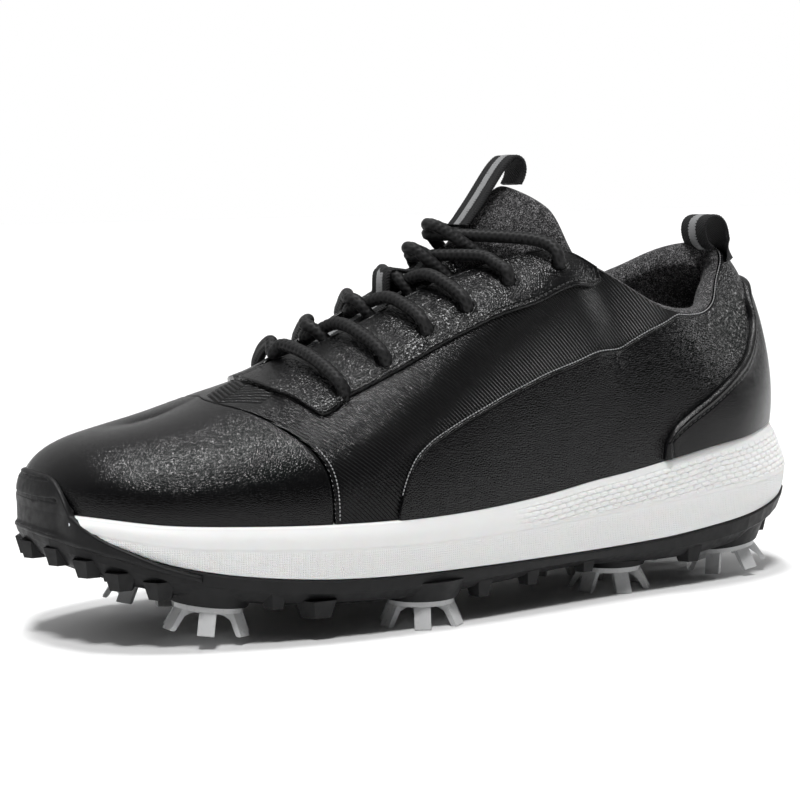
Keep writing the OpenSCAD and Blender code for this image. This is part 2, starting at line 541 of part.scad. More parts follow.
// A ribbon along a path of x, z points, w wide across the shoe and t thick. Its last quarter
// sags toward the toe at its two edges, by the two lengths in sag.
module ribbon(path, w, t, sag = [0, 0]) {
    n = len(path);
    function side(i) = let (d = path[min(n - 1, i + 1)] - path[max(0, i - 1)])
        unit([-d.y, d.x]);
    function row(i, k) = let (p = path[i] + k * side(i), f = max(0, 4 * i / (n - 1) - 3))
        [for (c = [-1:0.5:1]) [p.x - f * c * c * sag[c < 0 ? 0 : 1], c * w / 2, p.y]];
    shell([for (i = [0:n - 1]) row(i, t / 2)], [for (i = [0:n - 1]) row(i, -t / 2)]);
}
function smooth_path(p, k) = [for (i = [0:len(p) - 2]) for (f = [0:k - 1])
    open_row(p, i + f / k), p[len(p) - 1]];

// The strip lies on the tongue and rises once as the keeper over a lace crossing.
KEEPER_S = 4.9;
function strip_lift(s) = let (t = max(0, 1 - abs(s - KEEPER_S) / 0.75))
    (2 * lace_d + 1.2) * t * t * (3 - 2 * t);
module tongue_strip() {
    ss = concat(steps(2.45, 3.9, 4), steps(4.15, 5.65, 8), [5.85, 6.1]);
    function side(s, d) = [for (k = [-1, 1]) let (c = tongue_skin(s, 0, 1.3 + d + strip_lift(s)))
        [c.x, mid_y + k * strip_w / 2, c.z]];
    color(web) shell([for (s = ss) side(s, web_t)], [for (s = ss) side(s, 0)]);
}
LOOP_PATH = [[14.4, 134.4], [16.4, 136.6], [19, 139.8], [22.4, 144.2], [25.6, 148.6],
    [28.8, 153], [31.8, 156.6], [35, 158.9], [38, 157.8], [39, 154.8], [38.4, 151.8],
    [37, 149.2]];
module tongue_loop() {
    color(web) translate([0, mid_y, 0]) ribbon(smooth_path(LOOP_PATH, 2), loop_w, web_t);
}
TAB_PATH = [[120.8, 123.4], [118.4, 125.2], [117, 128.2], [116.7, 131.4], [117.9, 134.1],
    [120.6, 135.4], [123.6, 135], [125.9, 132.9], [127.1, 129.8], [127.7, 126.8], [128.8, 124.2],
    [131, 121.6], [133.4, 118.8]];
// The tab's back leg is stitched round the curve of the heel leather.
TAB_SAG = [7, 4];
module heel_tab() {
    color(web) translate([0, heel_y, 0])
        ribbon(smooth_path(TAB_PATH, 2), tab_w, web_t, TAB_SAG);
}

// ---- Lace ----
// The lace's route, by hand: from the outer end inside the collar, down the eyelets, over the
// bottom bar and up again. At a crossing the strand bound for the inner side lies on top.
LACE_PATH = [
    [34, -28, 95], [36, -26, 105], [38, -22.5, 115],
    [37.5, -30.5, 122], [32.5, -22.5, 129],
    [6, 2.5, 131.5], [8, 9, 130], [24.5, 20, 115.5], [19, 25.5, 109.5],
    [16.5, 33.5, 117], [14.5, 29, 121], [11.5, 23, 124],
    [-6, 2.5, 127], [-4, -4, 125], [8, -13, 110], [2, -26, 100.5],
    [-2, -33, 109], [-4.5, -25, 114.5], [-8, -14, 118],
    [-12, 2.5, 113.5], [-11.5, 8.5, 113], [-7, 17, 103.5], [-14, 28.5, 94],
    [-17.5, 36, 101.5], [-20, 28.5, 107], [-23, 18.5, 110.5],
    [-30, 2.5, 110], [-28.5, -4, 108], [-23, -11, 96], [-30, -28, 84],
    [-34.5, -34, 92.5], [-37, -23, 98.5], [-40, -9.5, 102],
    [-45, 2.5, 97.5], [-44.5, 8.5, 96.5], [-38, 14, 87.5], [-46, 31, 75],
    [-50.5, 38, 83], [-54, 26, 91], [-57, 10, 95.5], [-59.5, 2.5, 92],
    [-57.5, -3, 95], [-54, -20.5, 91], [-51, -34.5, 83.5], [-46, -28.5, 74.5],
    [-38, -9, 87.5], [-44.5, -3.5, 98.5], [-47, 2.5, 101.5], [-40, 15.5, 102],
    [-37, 28, 98.5], [-34.5, 37, 92], [-30, 30, 84],
    [-23, 16, 96], [-27, 8.5, 105], [-28, 2.5, 106], [-23, -12.5, 110.5],
    [-20, -24, 107.5], [-18, -33, 102], [-14, -27, 93.5],
    [-7, -12, 103.5], [-13, -3.5, 116.5], [-15, 2.5, 118.5], [-8, 20, 118.5],
    [-4, 29.5, 114], [-2, 35.5, 108.5], [1.5, 27.5, 101],
    [8, 18, 110], [-1, 9, 123], [-2.5, 2.5, 124], [11.5, -17, 124],
    [14.5, -25, 121.5], [16.5, -30.5, 117.5], [19, -24, 108.5],
    [25.5, -17, 115], [6, -5, 132.5], [2.5, 2.5, 135], [32.5, 26, 129],
    [37.5, 33, 121.5], [38, 24, 115.5], [36, 26, 105.5], [34, 27.5, 95.5]
];

// A round tube through the points, its section carried along without twist.
module tube(p, r, sides) {
    n = len(p);
    t = [for (i = [0:n - 1]) unit(p[min(n - 1, i + 1)] - p[max(0, i - 1)])];
    side = [for (i = 0, a = unit(cross(t[0], [0, 1, 0.3])); i < n; i = i + 1,
        a = i < n ? unit(a - (a * t[i]) * t[i]) : a) a];
    pts = [for (i = [0:n - 1]) for (k = [0:sides - 1])
        p[i] + r * (cos(360 * k / sides) * side[i] + sin(360 * k / sides) * cross(t[i], side[i]))];
    polyhedron(pts, [for (i = [0:n - 2]) for (k = [0:sides - 1])
        let (a = i * sides + k, b = i * sides + (k + 1) % sides) each
            [[a, a + sides, b], [b, a + sides, b + sides]],
        [for (k = [0:sides - 1]) k], [for (k = [sides - 1:-1:0]) (n - 1) * sides + k]]);
}
module lace() { color(web) tube(LACE_PATH, lace_d / 2, 8); }
module aglets() {
    color([0.1, 0.1, 0.1]) for (inner = [false, true]) {
        a = LACE_PATH[inner ? len(LACE_PATH) - 1 : 0];
        b = LACE_PATH[inner ? len(LACE_PATH) - 2 : 1];
        d = unit(a - b);
        translate(a) rotate([0, acos(d.z), atan2(d.y, d.x)]) cylinder(h = 18, r = 1.7);
    }
}

outsole();
midsole();
shank_plate();
insole_board();
sockliner();
receptacles();
cleat_front_outer();
cleat_front_inner();
cleat_ball_outer();
cleat_ball_inner();
cleat_heel_outer();
cleat_heel_inner();
cleat_back_outer();
cleat_back_inner();
toe_vamp();
wrap_outer();
wrap_inner();
eyestay_outer();
eyestay_inner();
quarter_outer();
quarter_inner();
heel_overlay();
toe_puff();
heel_counter();
vamp_lining();
lining_outer();
lining_inner();
collar_foam();
collar_lining();
tongue_body();
tongue_face();
tongue_strip();
tongue_loop();
heel_tab();
lace();
aglets();
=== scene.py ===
import math

import bmesh
import bpy
import numpy as np
from mathutils import Matrix, Vector


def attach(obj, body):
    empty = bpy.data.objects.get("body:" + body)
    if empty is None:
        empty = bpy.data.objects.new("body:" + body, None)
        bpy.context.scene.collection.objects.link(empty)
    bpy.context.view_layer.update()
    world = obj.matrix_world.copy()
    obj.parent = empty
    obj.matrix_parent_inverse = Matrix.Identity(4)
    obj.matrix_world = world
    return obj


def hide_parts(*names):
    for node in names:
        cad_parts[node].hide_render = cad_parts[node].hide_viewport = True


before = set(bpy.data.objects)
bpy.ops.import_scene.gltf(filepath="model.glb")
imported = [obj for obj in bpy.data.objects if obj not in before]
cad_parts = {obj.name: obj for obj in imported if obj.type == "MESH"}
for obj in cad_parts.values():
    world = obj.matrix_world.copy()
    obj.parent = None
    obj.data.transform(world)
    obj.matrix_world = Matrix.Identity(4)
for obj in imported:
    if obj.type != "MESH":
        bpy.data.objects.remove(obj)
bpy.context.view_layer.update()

MM = 0.001
BODY = "shoe"

# ---- The part's driving shape, in millimetres, as in part.scad ----
PANEL_T = 1.4
OVERLAY_T = 1.3
LINING_T = 1.2
STIFFENER_T = 1.2
PLY_GAP = 0.35
COLLAR_PAD_T = 6
SOLE_OUT = 3.6
CUP_DEEP = 4
STRIP_W = 13
LOOP_W = 15
TAB_W = 16
WEB_T = 1.5
LACE_D = 4.0
OVER_D = PANEL_T + PLY_GAP
TOP_D = OVER_D + OVERLAY_T
UNDER_T = LINING_T + STIFFENER_T + 2 * PLY_GAP
THROAT_U = 5

# One row for each place u round the foot, toe first: the foot rim's x, y, z, the top line's
# x, y, z, and the four lengths that bend the skin between them.
STATIONS = np.array([
    [-146.5, 8.5, 45.5, -108, 6.5, 69, 2, 16, 27, 1],
    [-143, -8.5, 45, -106, 6.5, 69.5, 2, 16, 27, 1],
    [-133, -23.5, 44, -101.5, 6.5, 71, 2, 16, 27, 1],
    [-114, -36.5, 41.5, -94, 5.5, 74, 2.5, 18, 27, 1.5],
    [-89, -44.5, 40, -83, 4.5, 78.5, 3, 21, 30, 2],
    [-64, -49, 39, -64, 3.5, 85, 3, 25, 29, 4],
    [-36, -50, 38.5, -36, -7.5, 97, 3.5, 36, 24, 6],
    [-8, -47, 39, -8, -11.5, 110.5, 3.5, 47, 24, 6],
    [20, -42.5, 41, 20, -16.5, 119.5, 3, 54, 18, 5],
    [43, -39, 44, 42, -21.5, 123.5, 2.5, 52, 11, 8],
    [61, -36.5, 46, 59, -27, 115.5, 3, 28, 7, 22],
    [80, -35, 49, 79, -29.5, 103.5, 2, 22, 4, 18],
    [98, -33, 52, 96, -26, 100, 2, 18, 5, 16],
    [114, -29, 54, 109, -18, 102.5, 2.5, 18, 8, 16],
    [127, -21.5, 56, 117, -9.5, 110.5, 3, 20, 10, 15],
    [137, -11, 57, 123, -3.5, 117.5, 3, 20, 12, 12],
    [141, 1.5, 57.5, 125, 1.5, 121.5, 3, 21, 14, 9],
    [137, 14, 57, 123, 6.5, 123, 3, 20, 12, 12],
    [127, 24.5, 56, 117, 13, 122.5, 3, 20, 10, 15],
    [114, 31, 54, 109, 21.5, 119.5, 2.5, 18, 8, 16],
    [98, 33.5, 52, 96, 28.5, 113.5, 2, 18, 5, 16],
    [80, 35, 49, 79, 32, 109, 2, 22, 4, 18],
    [61, 35, 46, 59, 30.5, 117.5, 3, 28, 6, 22],
    [43, 36, 44, 42, 24.5, 123.5, 2.5, 52, 9, 8],
    [20, 38.5, 41, 20, 21.5, 119.5, 3, 54, 14, 5],
    [-8, 42.5, 39, -8, 17.5, 110.5, 3.5, 47, 20, 6],
    [-36, 47.5, 38.5, -36, 13.5, 97, 3.5, 36, 22, 6],
    [-64, 50, 39, -64, 3.5, 85, 3, 25, 29, 4],
    [-89, 49, 40, -83, 4.5, 78.5, 3, 21, 30, 2],
    [-115, 42.5, 41.5, -94, 5.5, 74, 2.5, 18, 27, 1.5],
    [-134, 32, 44, -101.5, 6.5, 71, 2, 16, 27, 1],
    [-144, 21.5, 45, -106, 6.5, 69.5, 2, 16, 27, 1]
], float)
# Rows of x and height: the foam's ridge and the line where the rubber begins.
RIDGE_Z = np.array([[-151, 43], [-118, 35.4], [-91, 32.7], [-39, 30.3], [2, 30.3], [48, 32], [82, 34],
    [120, 37], [151, 41]], float)
LINE_Z = np.array([[-151, 40], [-130, 33.5], [-113, 28], [-94, 24], [-67, 21], [-43, 19.9], [25, 19],
    [71, 19.7], [100, 22.3], [120, 25.4], [151, 33]], float)
# Each panel edge, as rows of one place on the skin against the other.
VAMP_EDGE = np.array([[0, 5.1], [0.22, 5.08], [0.36, 4.95], [0.5, 4.7], [0.64, 4.4], [0.8, 3.98],
    [0.9, 3.8], [1, 3.72]], float)
EYESTAY_EDGE = np.array([[4.6, 0.97], [4.82, 0.78], [5.03, 0.65], [5.22, 0.51], [5.65, 0.555],
    [6.5, 0.58], [7.5, 0.596], [8.4, 0.606], [9.25, 0.73], [9.8, 0.93]], float)
QUARTER_EDGE = np.array([[5.9, 0.02], [5.95, 0.08], [6.05, 0.145], [6.2, 0.198], [6.5, 0.238],
    [7.35, 0.281], [8, 0.303], [9.08, 0.362], [10.26, 0.678], [11.1, 0.9], [11.5, 0.975],
    [16, 0.975]], float)
HEEL_EDGE = np.array([[10.75, 0.1], [11, 0.187], [11.83, 0.34], [12.8, 0.476], [13.9, 0.54],
    [14.5, 0.61], [14.8, 0.7], [15.3, 0.74], [16, 0.75]], float)
EYELETS = np.array([[5.55, 0.6], [6.12, 0.66], [6.72, 0.7], [7.26, 0.72], [7.91, 0.78],
    [8.78, 0.82]], float)
# Rows from the toe up: the tongue's middle, its quarter points and its edges.
TONGUE = np.array([
    [-72, 73, -72, 10, 68, -72, 20, 60], [-62, 79, -62, 10, 71.5, -62, 21, 64],
    [-50, 87.5, -50, 10, 77.5, -50, 22, 68], [-36, 95.5, -36, 10, 84, -36, 24, 72],
    [-20, 103.5, -20, 10.5, 91, -20, 25, 79], [-8, 111, -8, 11.5, 97, -8, 25.5, 84],
    [4, 122, 7, 12.5, 103, 13, 24, 91], [14, 132, 19, 14, 110.5, 29, 23, 99],
    [24, 142, 31, 16, 126, 41, 22, 110], [33, 149.5, 43.5, 16, 140.5, 51, 21.5, 123.5]], float)
# Routes of the webbing, as x and z, and of the lace, as x, y and z.
LOOP_PATH = np.array([[14.4, 134.4], [16.4, 136.6], [19, 139.8], [22.4, 144.2], [25.6, 148.6],
    [28.8, 153], [31.8, 156.6], [35, 158.9], [38, 157.8], [39, 154.8], [38.4, 151.8],
    [37, 149.2]], float)
TAB_PATH = np.array([[120.8, 123.4], [118.4, 125.2], [117, 128.2], [116.7, 131.4], [117.9, 134.1],
    [120.6, 135.4], [123.6, 135], [125.9, 132.9], [127.1, 129.8], [127.7, 126.8], [128.8, 124.2],
    [131, 121.6], [133.4, 118.8]], float)
TAB_SAG = (7, 4)
LACE_PATH = np.array([
    [34, -28, 95], [36, -26, 105], [38, -22.5, 115],
    [37.5, -30.5, 122], [32.5, -22.5, 129],
    [6, 2.5, 131.5], [8, 9, 130], [24.5, 20, 115.5], [19, 25.5, 109.5],
    [16.5, 33.5, 117], [14.5, 29, 121], [11.5, 23, 124],
    [-6, 2.5, 127], [-4, -4, 125], [8, -13, 110], [2, -26, 100.5],
    [-2, -33, 109], [-4.5, -25, 114.5], [-8, -14, 118],
    [-12, 2.5, 113.5], [-11.5, 8.5, 113], [-7, 17, 103.5], [-14, 28.5, 94],
    [-17.5, 36, 101.5], [-20, 28.5, 107], [-23, 18.5, 110.5],
    [-30, 2.5, 110], [-28.5, -4, 108], [-23, -11, 96], [-30, -28, 84],
    [-34.5, -34, 92.5], [-37, -23, 98.5], [-40, -9.5, 102],
    [-45, 2.5, 97.5], [-44.5, 8.5, 96.5], [-38, 14, 87.5], [-46, 31, 75],
    [-50.5, 38, 83], [-54, 26, 91], [-57, 10, 95.5], [-59.5, 2.5, 92],
    [-57.5, -3, 95], [-54, -20.5, 91], [-51, -34.5, 83.5], [-46, -28.5, 74.5],
    [-38, -9, 87.5], [-44.5, -3.5, 98.5], [-47, 2.5, 101.5], [-40, 15.5, 102],
    [-37, 28, 98.5], [-34.5, 37, 92], [-30, 30, 84],
    [-23, 16, 96], [-27, 8.5, 105], [-28, 2.5, 106], [-23, -12.5, 110.5],
    [-20, -24, 107.5], [-18, -33, 102], [-14, -27, 93.5],
    [-7, -12, 103.5], [-13, -3.5, 116.5], [-15, 2.5, 118.5], [-8, 20, 118.5],
    [-4, 29.5, 114], [-2, 35.5, 108.5], [1.5, 27.5, 101],
    [8, 18, 110], [-1, 9, 123], [-2.5, 2.5, 124], [11.5, -17, 124],
    [14.5, -25, 121.5], [16.5, -30.5, 117.5], [19, -24, 108.5],
    [25.5, -17, 115], [6, -5, 132.5], [2.5, 2.5, 135], [32.5, 26, 129],
    [37.5, 33, 121.5], [38, 24, 115.5], [36, 26, 105.5], [34, 27.5, 95.5]
], float)
HOLE_R = 2.5
MID_Y, HEEL_Y = 2.5, 1.5
KEEPER_S = 4.9

N = len(STATIONS)
HEEL_U = N / 2


# ---- Curves ----
def crom(a, b, c, d, f):
    return 0.5 * (2 * b + (c - a) * f + (2 * a - 5 * b + 4 * c - d) * f**2
                  + (3 * b - a - 3 * c + d) * f**3)


def around(u):
    """The stations' values at u, smoothly between them, on a closed loop."""
    i = np.floor(u).astype(int)
    f = (u - i)[..., None]
    return crom(STATIONS[(i - 1) % N], STATIONS[i % N], STATIONS[(i + 1) % N],
                STATIONS[(i + 2) % N], f)


def along(rows, x):
    """A height read from (x, value) rows, on a smooth curve."""
    xs, ys = rows[:, 0], rows[:, 1]
    x = np.clip(x, xs[0], xs[-1])
    i = np.clip(np.searchsorted(xs, x, side="right") - 1, 0, len(xs) - 2)
    n = len(xs) - 1

    def slope(k):
        after, before = np.minimum(k + 1, n), np.maximum(k - 1, 0)
        return (ys[after] - ys[before]) / (xs[after] - xs[before])

    h = xs[i + 1] - xs[i]
    f = (x - xs[i]) / h
    return ((2 * f**3 - 3 * f**2 + 1) * ys[i] + (f**3 - 2 * f**2 + f) * h * slope(i)
            + (3 * f**2 - 2 * f**3) * ys[i + 1] + (f**3 - f**2) * h * slope(i + 1))


def from_toe(u):
    """How far u is from the toe, whichever side it is on."""
    w = u - N * np.floor(u / N)
    return np.minimum(w, N - w)


def unit(v):
    return v / np.maximum(np.linalg.norm(v, axis=-1, keepdims=True), 1e-9)


def smooth(a, b, x):
    """A smooth step from 0 at a to 1 at b."""
    t = np.clip((x - a) / (b - a), 0, 1)
    return t * t * (3 - 2 * t)


def upper(u, v):
    """The upper's base surface: u runs round the foot, v from its rim to its top line."""
    k = around(u)
    w = from_toe(u)
    foot = k[..., 0:3]
    top = k[..., 3:6].copy()
    top[..., 1] = np.where(w <= THROAT_U, 6.5 - 0.6 * w, top[..., 1])
    out = foot - top
    out[..., 2] = 0
    out = unit(out)
    up = np.zeros_like(out)
    up[..., 2] = 1
    b = foot + k[..., 6:7] * out + k[..., 7:8] * up
    c = top + k[..., 8:9] * out - k[..., 9:10] * up
    v = v[..., None]
    return ((1 - v)**3 * foot + 3 * (1 - v)**2 * v * b + 3 * (1 - v) * v**2 * c + v**3 * top)


def skin(u, v, d):
    """Points d outside the upper's base surface."""
    u, v, d = np.broadcast_arrays(np.asarray(u, float), np.asarray(v, float),
                                  np.asarray(d, float))
    e = 0.03
    w = np.clip(v, 0, 0.985)
    a = upper(u + e, w) - upper(u - e, w)
    b = upper(u, w + 0.015) - upper(u, np.maximum(0, w - e))
    n = unit(np.cross(a, b))
    upright = smooth(0.9, 1.0, v) * (from_toe(u) < THROAT_U + 0.01)
    n = unit(n * (1 - upright[..., None]) + np.array([0, 0, 1.0]) * upright[..., None])
    return upper(u, v) + d[..., None] * n


def plan(u, d):
    """Points d outside the foot's outline, seen from above."""
    k = around(u)[..., :2]
    q = (around(u + 0.05) - around(u - 0.05))[..., :2]
    n = unit(np.stack([q[..., 1], -q[..., 0]], -1))
    return k + d[..., None] * n


def open_row(rows, s):
    """The rows' values at s, smoothly between them, on an open row."""
    i = np.clip(np.floor(s).astype(int), 0, len(rows) - 2)
    f = (s - i).reshape(s.shape + (1,) * (rows.ndim - 1))
    first = 2 * rows[0] - rows[1]
    last = 2 * rows[-1] - rows[-2]
    ext = np.concatenate([first[None], rows, last[None]])
    return crom(ext[i], ext[i + 1], ext[i + 2], ext[i + 3], f)


def tongue_at(s, q):
    """The tongue's base surface: s runs up it, q from -2 to 2 across it."""
    r = open_row(TONGUE, s)
    left = np.stack([r[..., 5], -r[..., 6], r[..., 7]], -1)
    left_2 = np.stack([r[..., 2], -r[..., 3], r[..., 4]], -1)
    mid = np.stack([r[..., 0], 0 * r[..., 0], r[..., 1]], -1)
    right_2 = np.stack([r[..., 2], r[..., 3], r[..., 4]], -1)
    right = np.stack([r[..., 5], r[..., 6], r[..., 7]], -1)
    side = [2 * left - left_2, left, left_2, mid, right_2, right, 2 * right - right_2]
    i = np.clip(np.floor(q + 2).astype(int), 0, 3)
    f = (q + 2 - i)[..., None]
    pick = np.stack(side, -2)
    near = [np.take_along_axis(pick, (i + k)[..., None, None], -2)[..., 0, :] for k in range(4)]
    return crom(*near, f) + np.array([0, MID_Y, 0])


def tongue_skin(s, q, d):
    s, q, d = np.broadcast_arrays(np.asarray(s, float), np.asarray(q, float),
                                  np.asarray(d, float))
    e = 0.04
    top = len(TONGUE) - 1
    a = tongue_at(np.minimum(s + e, top), q) - tongue_at(np.maximum(0, s - e), q)
    b = tongue_at(s, np.minimum(2, q + e)) - tongue_at(s, np.maximum(-2, q - e))
    return tongue_at(s, q) + d[..., None] * unit(np.cross(a, b))


# ---- Meshes ----
def make(name, verts, faces, material, attrs=None, replaces=(), slot=None, merge=False):
    """An object from millimetre points, riding on the shoe, with its material and attributes."""
    mesh = bpy.data.meshes.new(name)
    mesh.from_pydata((np.asarray(verts) * MM).tolist(), [], [list(f) for f in faces])
    for key, values in (attrs or {}).items():
        layer = mesh.attributes.new(key, "FLOAT", "POINT")
        layer.data.foreach_set("value", np.asarray(values, np.float32).ravel())
    if merge:
        bm = bmesh.new()
        bm.from_mesh(mesh)
        bmesh.ops.remove_doubles(bm, verts=bm.verts, dist=2e-6)
        bmesh.ops.recalc_face_normals(bm, faces=bm.faces)
        bm.to_mesh(mesh)
        bm.free()
    mesh.update()
    mesh.polygons.foreach_set("use_smooth", [True] * len(mesh.polygons))
    mesh.set_sharp_from_angle(angle=math.radians(50))
    obj = bpy.data.objects.new(name, mesh)
    bpy.context.scene.collection.objects.link(obj)
    mesh.materials.append(material)
    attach(obj, BODY)
    if replaces:
        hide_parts(*replaces)
    return obj


def grid_faces(rows, cols, wrap_cols=False, start=0, flip=False):
    r, c = np.meshgrid(np.arange(rows - 1), np.arange(cols if wrap_cols else cols - 1),
                       indexing="ij")
    c2 = (c + 1) % cols
    f = np.stack([r * cols + c, r * cols + c2, (r + 1) * cols + c2, (r + 1) * cols + c], -1)
    f = f.reshape(-1, 4) + start
    return f[:, ::-1] if flip else f


def shell_faces(rows, cols):
    """Faces of a closed shell: an outer grid, an inner grid and the four edge walls."""
    n = rows * cols
    faces = [grid_faces(rows, cols), grid_faces(rows, cols, start=n, flip=True)]
    idx = np.arange(n).reshape(rows, cols)
    loop = np.concatenate([idx[0, :-1], idx[:-1, -1], idx[-1, :0:-1], idx[:0:-1, 0]])
    nxt = np.roll(loop, -1)
    faces.append(np.stack([nxt, loop, loop + n, nxt + n], -1))
    return np.concatenate(faces)


def make_shell(name, outer, inner, material, attrs=None, **kw):
    """A closed shell between an outer and an inner grid of points."""
    verts = np.concatenate([outer.reshape(-1, 3), inner.reshape(-1, 3)])
    return make(name, verts, shell_faces(*outer.shape[:2]), material, attrs, **kw)


def spaced(length, fine, small, large):
    """Places from 0 to 1 along a length, close together near both ends."""
    ends = np.arange(0, fine, small)
    middle = np.linspace(fine, length - fine, max(2, int((length - 2 * fine) / large)))
    return np.concatenate([ends, middle, length - ends[::-1]]) / length


def edge_distance(points, sides=(True, True, True, True)):
    """How far each grid point is from the grid's edges (first row, last row, first, last col)."""
    step_r = np.linalg.norm(np.diff(points, axis=0), axis=-1)
    step_c = np.linalg.norm(np.diff(points, axis=1), axis=-1)
    run_r = np.concatenate([np.zeros((1, points.shape[1])), np.cumsum(step_r, 0)])
    run_c = np.concatenate([np.zeros((points.shape[0], 1)), np.cumsum(step_c, 1)], 1)
    far = np.full(points.shape[:2], 1e3)
    choices = [run_r, run_r[-1:] - run_r, run_c, run_c[:, -1:] - run_c]
    for use, dist in zip(sides, choices):
        if use:
            far = np.minimum(far, dist)
    return far


def rolled(edge, radius):
    """How far a surface drops near its edge, for a rounded edge of that radius."""
    t = np.clip(1 - edge / radius, 0, 1)
    return radius * (1 - np.sqrt(np.maximum(0, 1 - t * t)))


def groove(edge, at, width, depth):
    """A soft groove that runs at a distance from a panel's edge."""
    return depth * np.exp(-((edge - at) / width)**2)


def panel_mesh(name, u, v, d_in, d_out, material, relief=None, sides=(True,) * 4, roll=0.8,
               flip=False, **kw):
    """A closed leather or fabric panel over grids of u and v."""
    base = skin(u, v, d_out)
    edge = edge_distance(base, sides)
    d = d_out - np.minimum(rolled(edge, roll), 0.75 * (d_out - d_in))
    if relief is not None:
        d = d + relief(base, edge)
    outer = skin(u, v, d)
    inner = skin(u, v, d_in)
    if flip:
        outer, inner, edge = outer[::-1], inner[::-1], edge[::-1]
    deep = np.clip((d_out - 0.1 - d) / 0.5, 0, 1) * (edge > roll)
    deep = deep[::-1] if flip else deep
    attrs = {"deep": np.concatenate([deep.ravel(), 0 * deep.ravel()])}
    return make_shell(name, outer, inner, material, attrs, **kw)


def resample(path, pitch):
    """Points at an even pitch along a polyline, with unit tangents."""
    step = np.linalg.norm(np.diff(path, axis=0), axis=1)
    run = np.concatenate([[0], np.cumsum(step)])
    n = max(2, int(round(run[-1] / pitch)))
    s = np.linspace(0, run[-1], n)
    pts = np.stack([np.interp(s, run, path[:, k]) for k in range(3)], -1)
    return pts, unit(np.gradient(pts, axis=0)), s


def stitches(name, paths, material, pitch, length, radius):
    """Rows of single stitches: small rounded lozenges that dip in at both ends."""
    ring = 6
    # Each ring of a stitch: its place along, its width and its height.
    shape = [(-0.5, 0.25, -0.5), (-0.38, 0.8, 0.1), (-0.12, 1, 0.5), (0.12, 1, 0.5),
             (0.38, 0.8, 0.1), (0.5, 0.25, -0.5)]
    verts, faces = [], []
    count = 0
    for path, normals in paths:
        pts, tan, _ = resample(path, pitch)
        at = np.linspace(0, 1, len(pts))
        ends = np.linspace(0, 1, len(normals))
        nor = np.stack([np.interp(at, ends, normals[:, k]) for k in range(3)], -1)
        nor = unit(nor - tan * np.sum(nor * tan, -1, keepdims=True))
        side = np.cross(tan, nor)
        for p, t, n, b in zip(pts, tan, nor, side):
            for along_t, wide, high in shape:
                for k in range(ring):
                    a = 2 * math.pi * k / ring
                    verts.append(p + t * along_t * length + n * radius * high
                                 + radius * wide * (math.cos(a) * b + math.sin(a) * n * 0.8))
            faces.extend(grid_faces(len(shape), ring, wrap_cols=True, start=count).tolist())
            faces.append([count + k for k in range(ring - 1, -1, -1)])
            faces.append([count + (len(shape) - 1) * ring + k for k in range(ring)])
            count += len(shape) * ring
    make(name, np.array(verts), faces, material, slot="webbing")


def frames_along(tan, start):
    """Side vectors carried along a path without twist."""
    side = np.zeros_like(tan)
    a = start - tan[0] * np.dot(start, tan[0])
    for i, t in enumerate(tan):
        a = a - t * np.dot(a, t)
        a = a / np.linalg.norm(a)
        side[i] = a
    return side


# ---- Materials ----
class Shader:
    """A small helper that builds a principled material's nodes."""

    def __init__(self, name, color, roughness, **sockets):
        self.mat = bpy.data.materials.new(name)
        self.mat.use_nodes = True
        self.tree = self.mat.node_tree
        self.bsdf = self.tree.nodes["Principled BSDF"]
        self.set(self.bsdf, "Base Color", (*color, 1))
        self.set(self.bsdf, "Roughness", roughness)
        for key, value in sockets.items():
            self.set(self.bsdf, key.replace("_", " "), value)
        self.coords = self.node("ShaderNodeTexCoord").outputs["Object"]
        self.height = None

    def node(self, kind, props=None, **inputs):
        made = self.tree.nodes.new(kind)
        for key, value in (props or {}).items():
            setattr(made, key, value)
        for key, value in inputs.items():
            self.set(made, key.replace("_", " "), value)
        return made

    def set(self, node, key, value):
        """Links a socket's value in, or sets it. The key is the input's name or its place."""
        if isinstance(value, bpy.types.NodeSocket):
            self.tree.links.new(value, node.inputs[key])
        else:
            node.inputs[key].default_value = value

    def math(self, op, a, b=0.0):
        made = self.node("ShaderNodeMath", {"operation": op})
        self.set(made, 0, a)
        self.set(made, 1, b)
        return made.outputs[0]

    def noise(self, scale, detail=2.0, roughness=0.5):
        return self.node("ShaderNodeTexNoise", Vector=self.coords, Scale=scale, Detail=detail,
                         Roughness=roughness).outputs["Fac"]

    def cells(self, scale):
        return self.node("ShaderNodeTexVoronoi", {"feature": "DISTANCE_TO_EDGE"},
                         Vector=self.coords, Scale=scale).outputs["Distance"]

    def attribute(self, name):
        return self.node("ShaderNodeAttribute", {"attribute_name": name}).outputs["Fac"]

    def axis(self, k):
        return self.node("ShaderNodeSeparateXYZ", Vector=self.coords).outputs[k]

    def remap(self, value, a, b, c, d):
        return self.node("ShaderNodeMapRange", Value=value, From_Min=a, From_Max=b, To_Min=c,
                         To_Max=d).outputs["Result"]

    def color_mix(self, fac, a, b):
        made = self.node("ShaderNodeMix", {"data_type": "RGBA"})
        for place, value in ((0, fac), (6, (*a, 1)), (7, (*b, 1))):
            self.set(made, place, value)
        return made.outputs[2]

    def bump(self, height, strength, distance):
        made = self.node("ShaderNodeBump", Strength=strength, Distance=distance, Height=height)
        if self.height is not None:
            self.set(made, "Normal", self.height)
        self.height = made.outputs["Normal"]
        self.set(self.bsdf, "Normal", self.height)

    def use(self, key, value):
        self.set(self.bsdf, key, value)


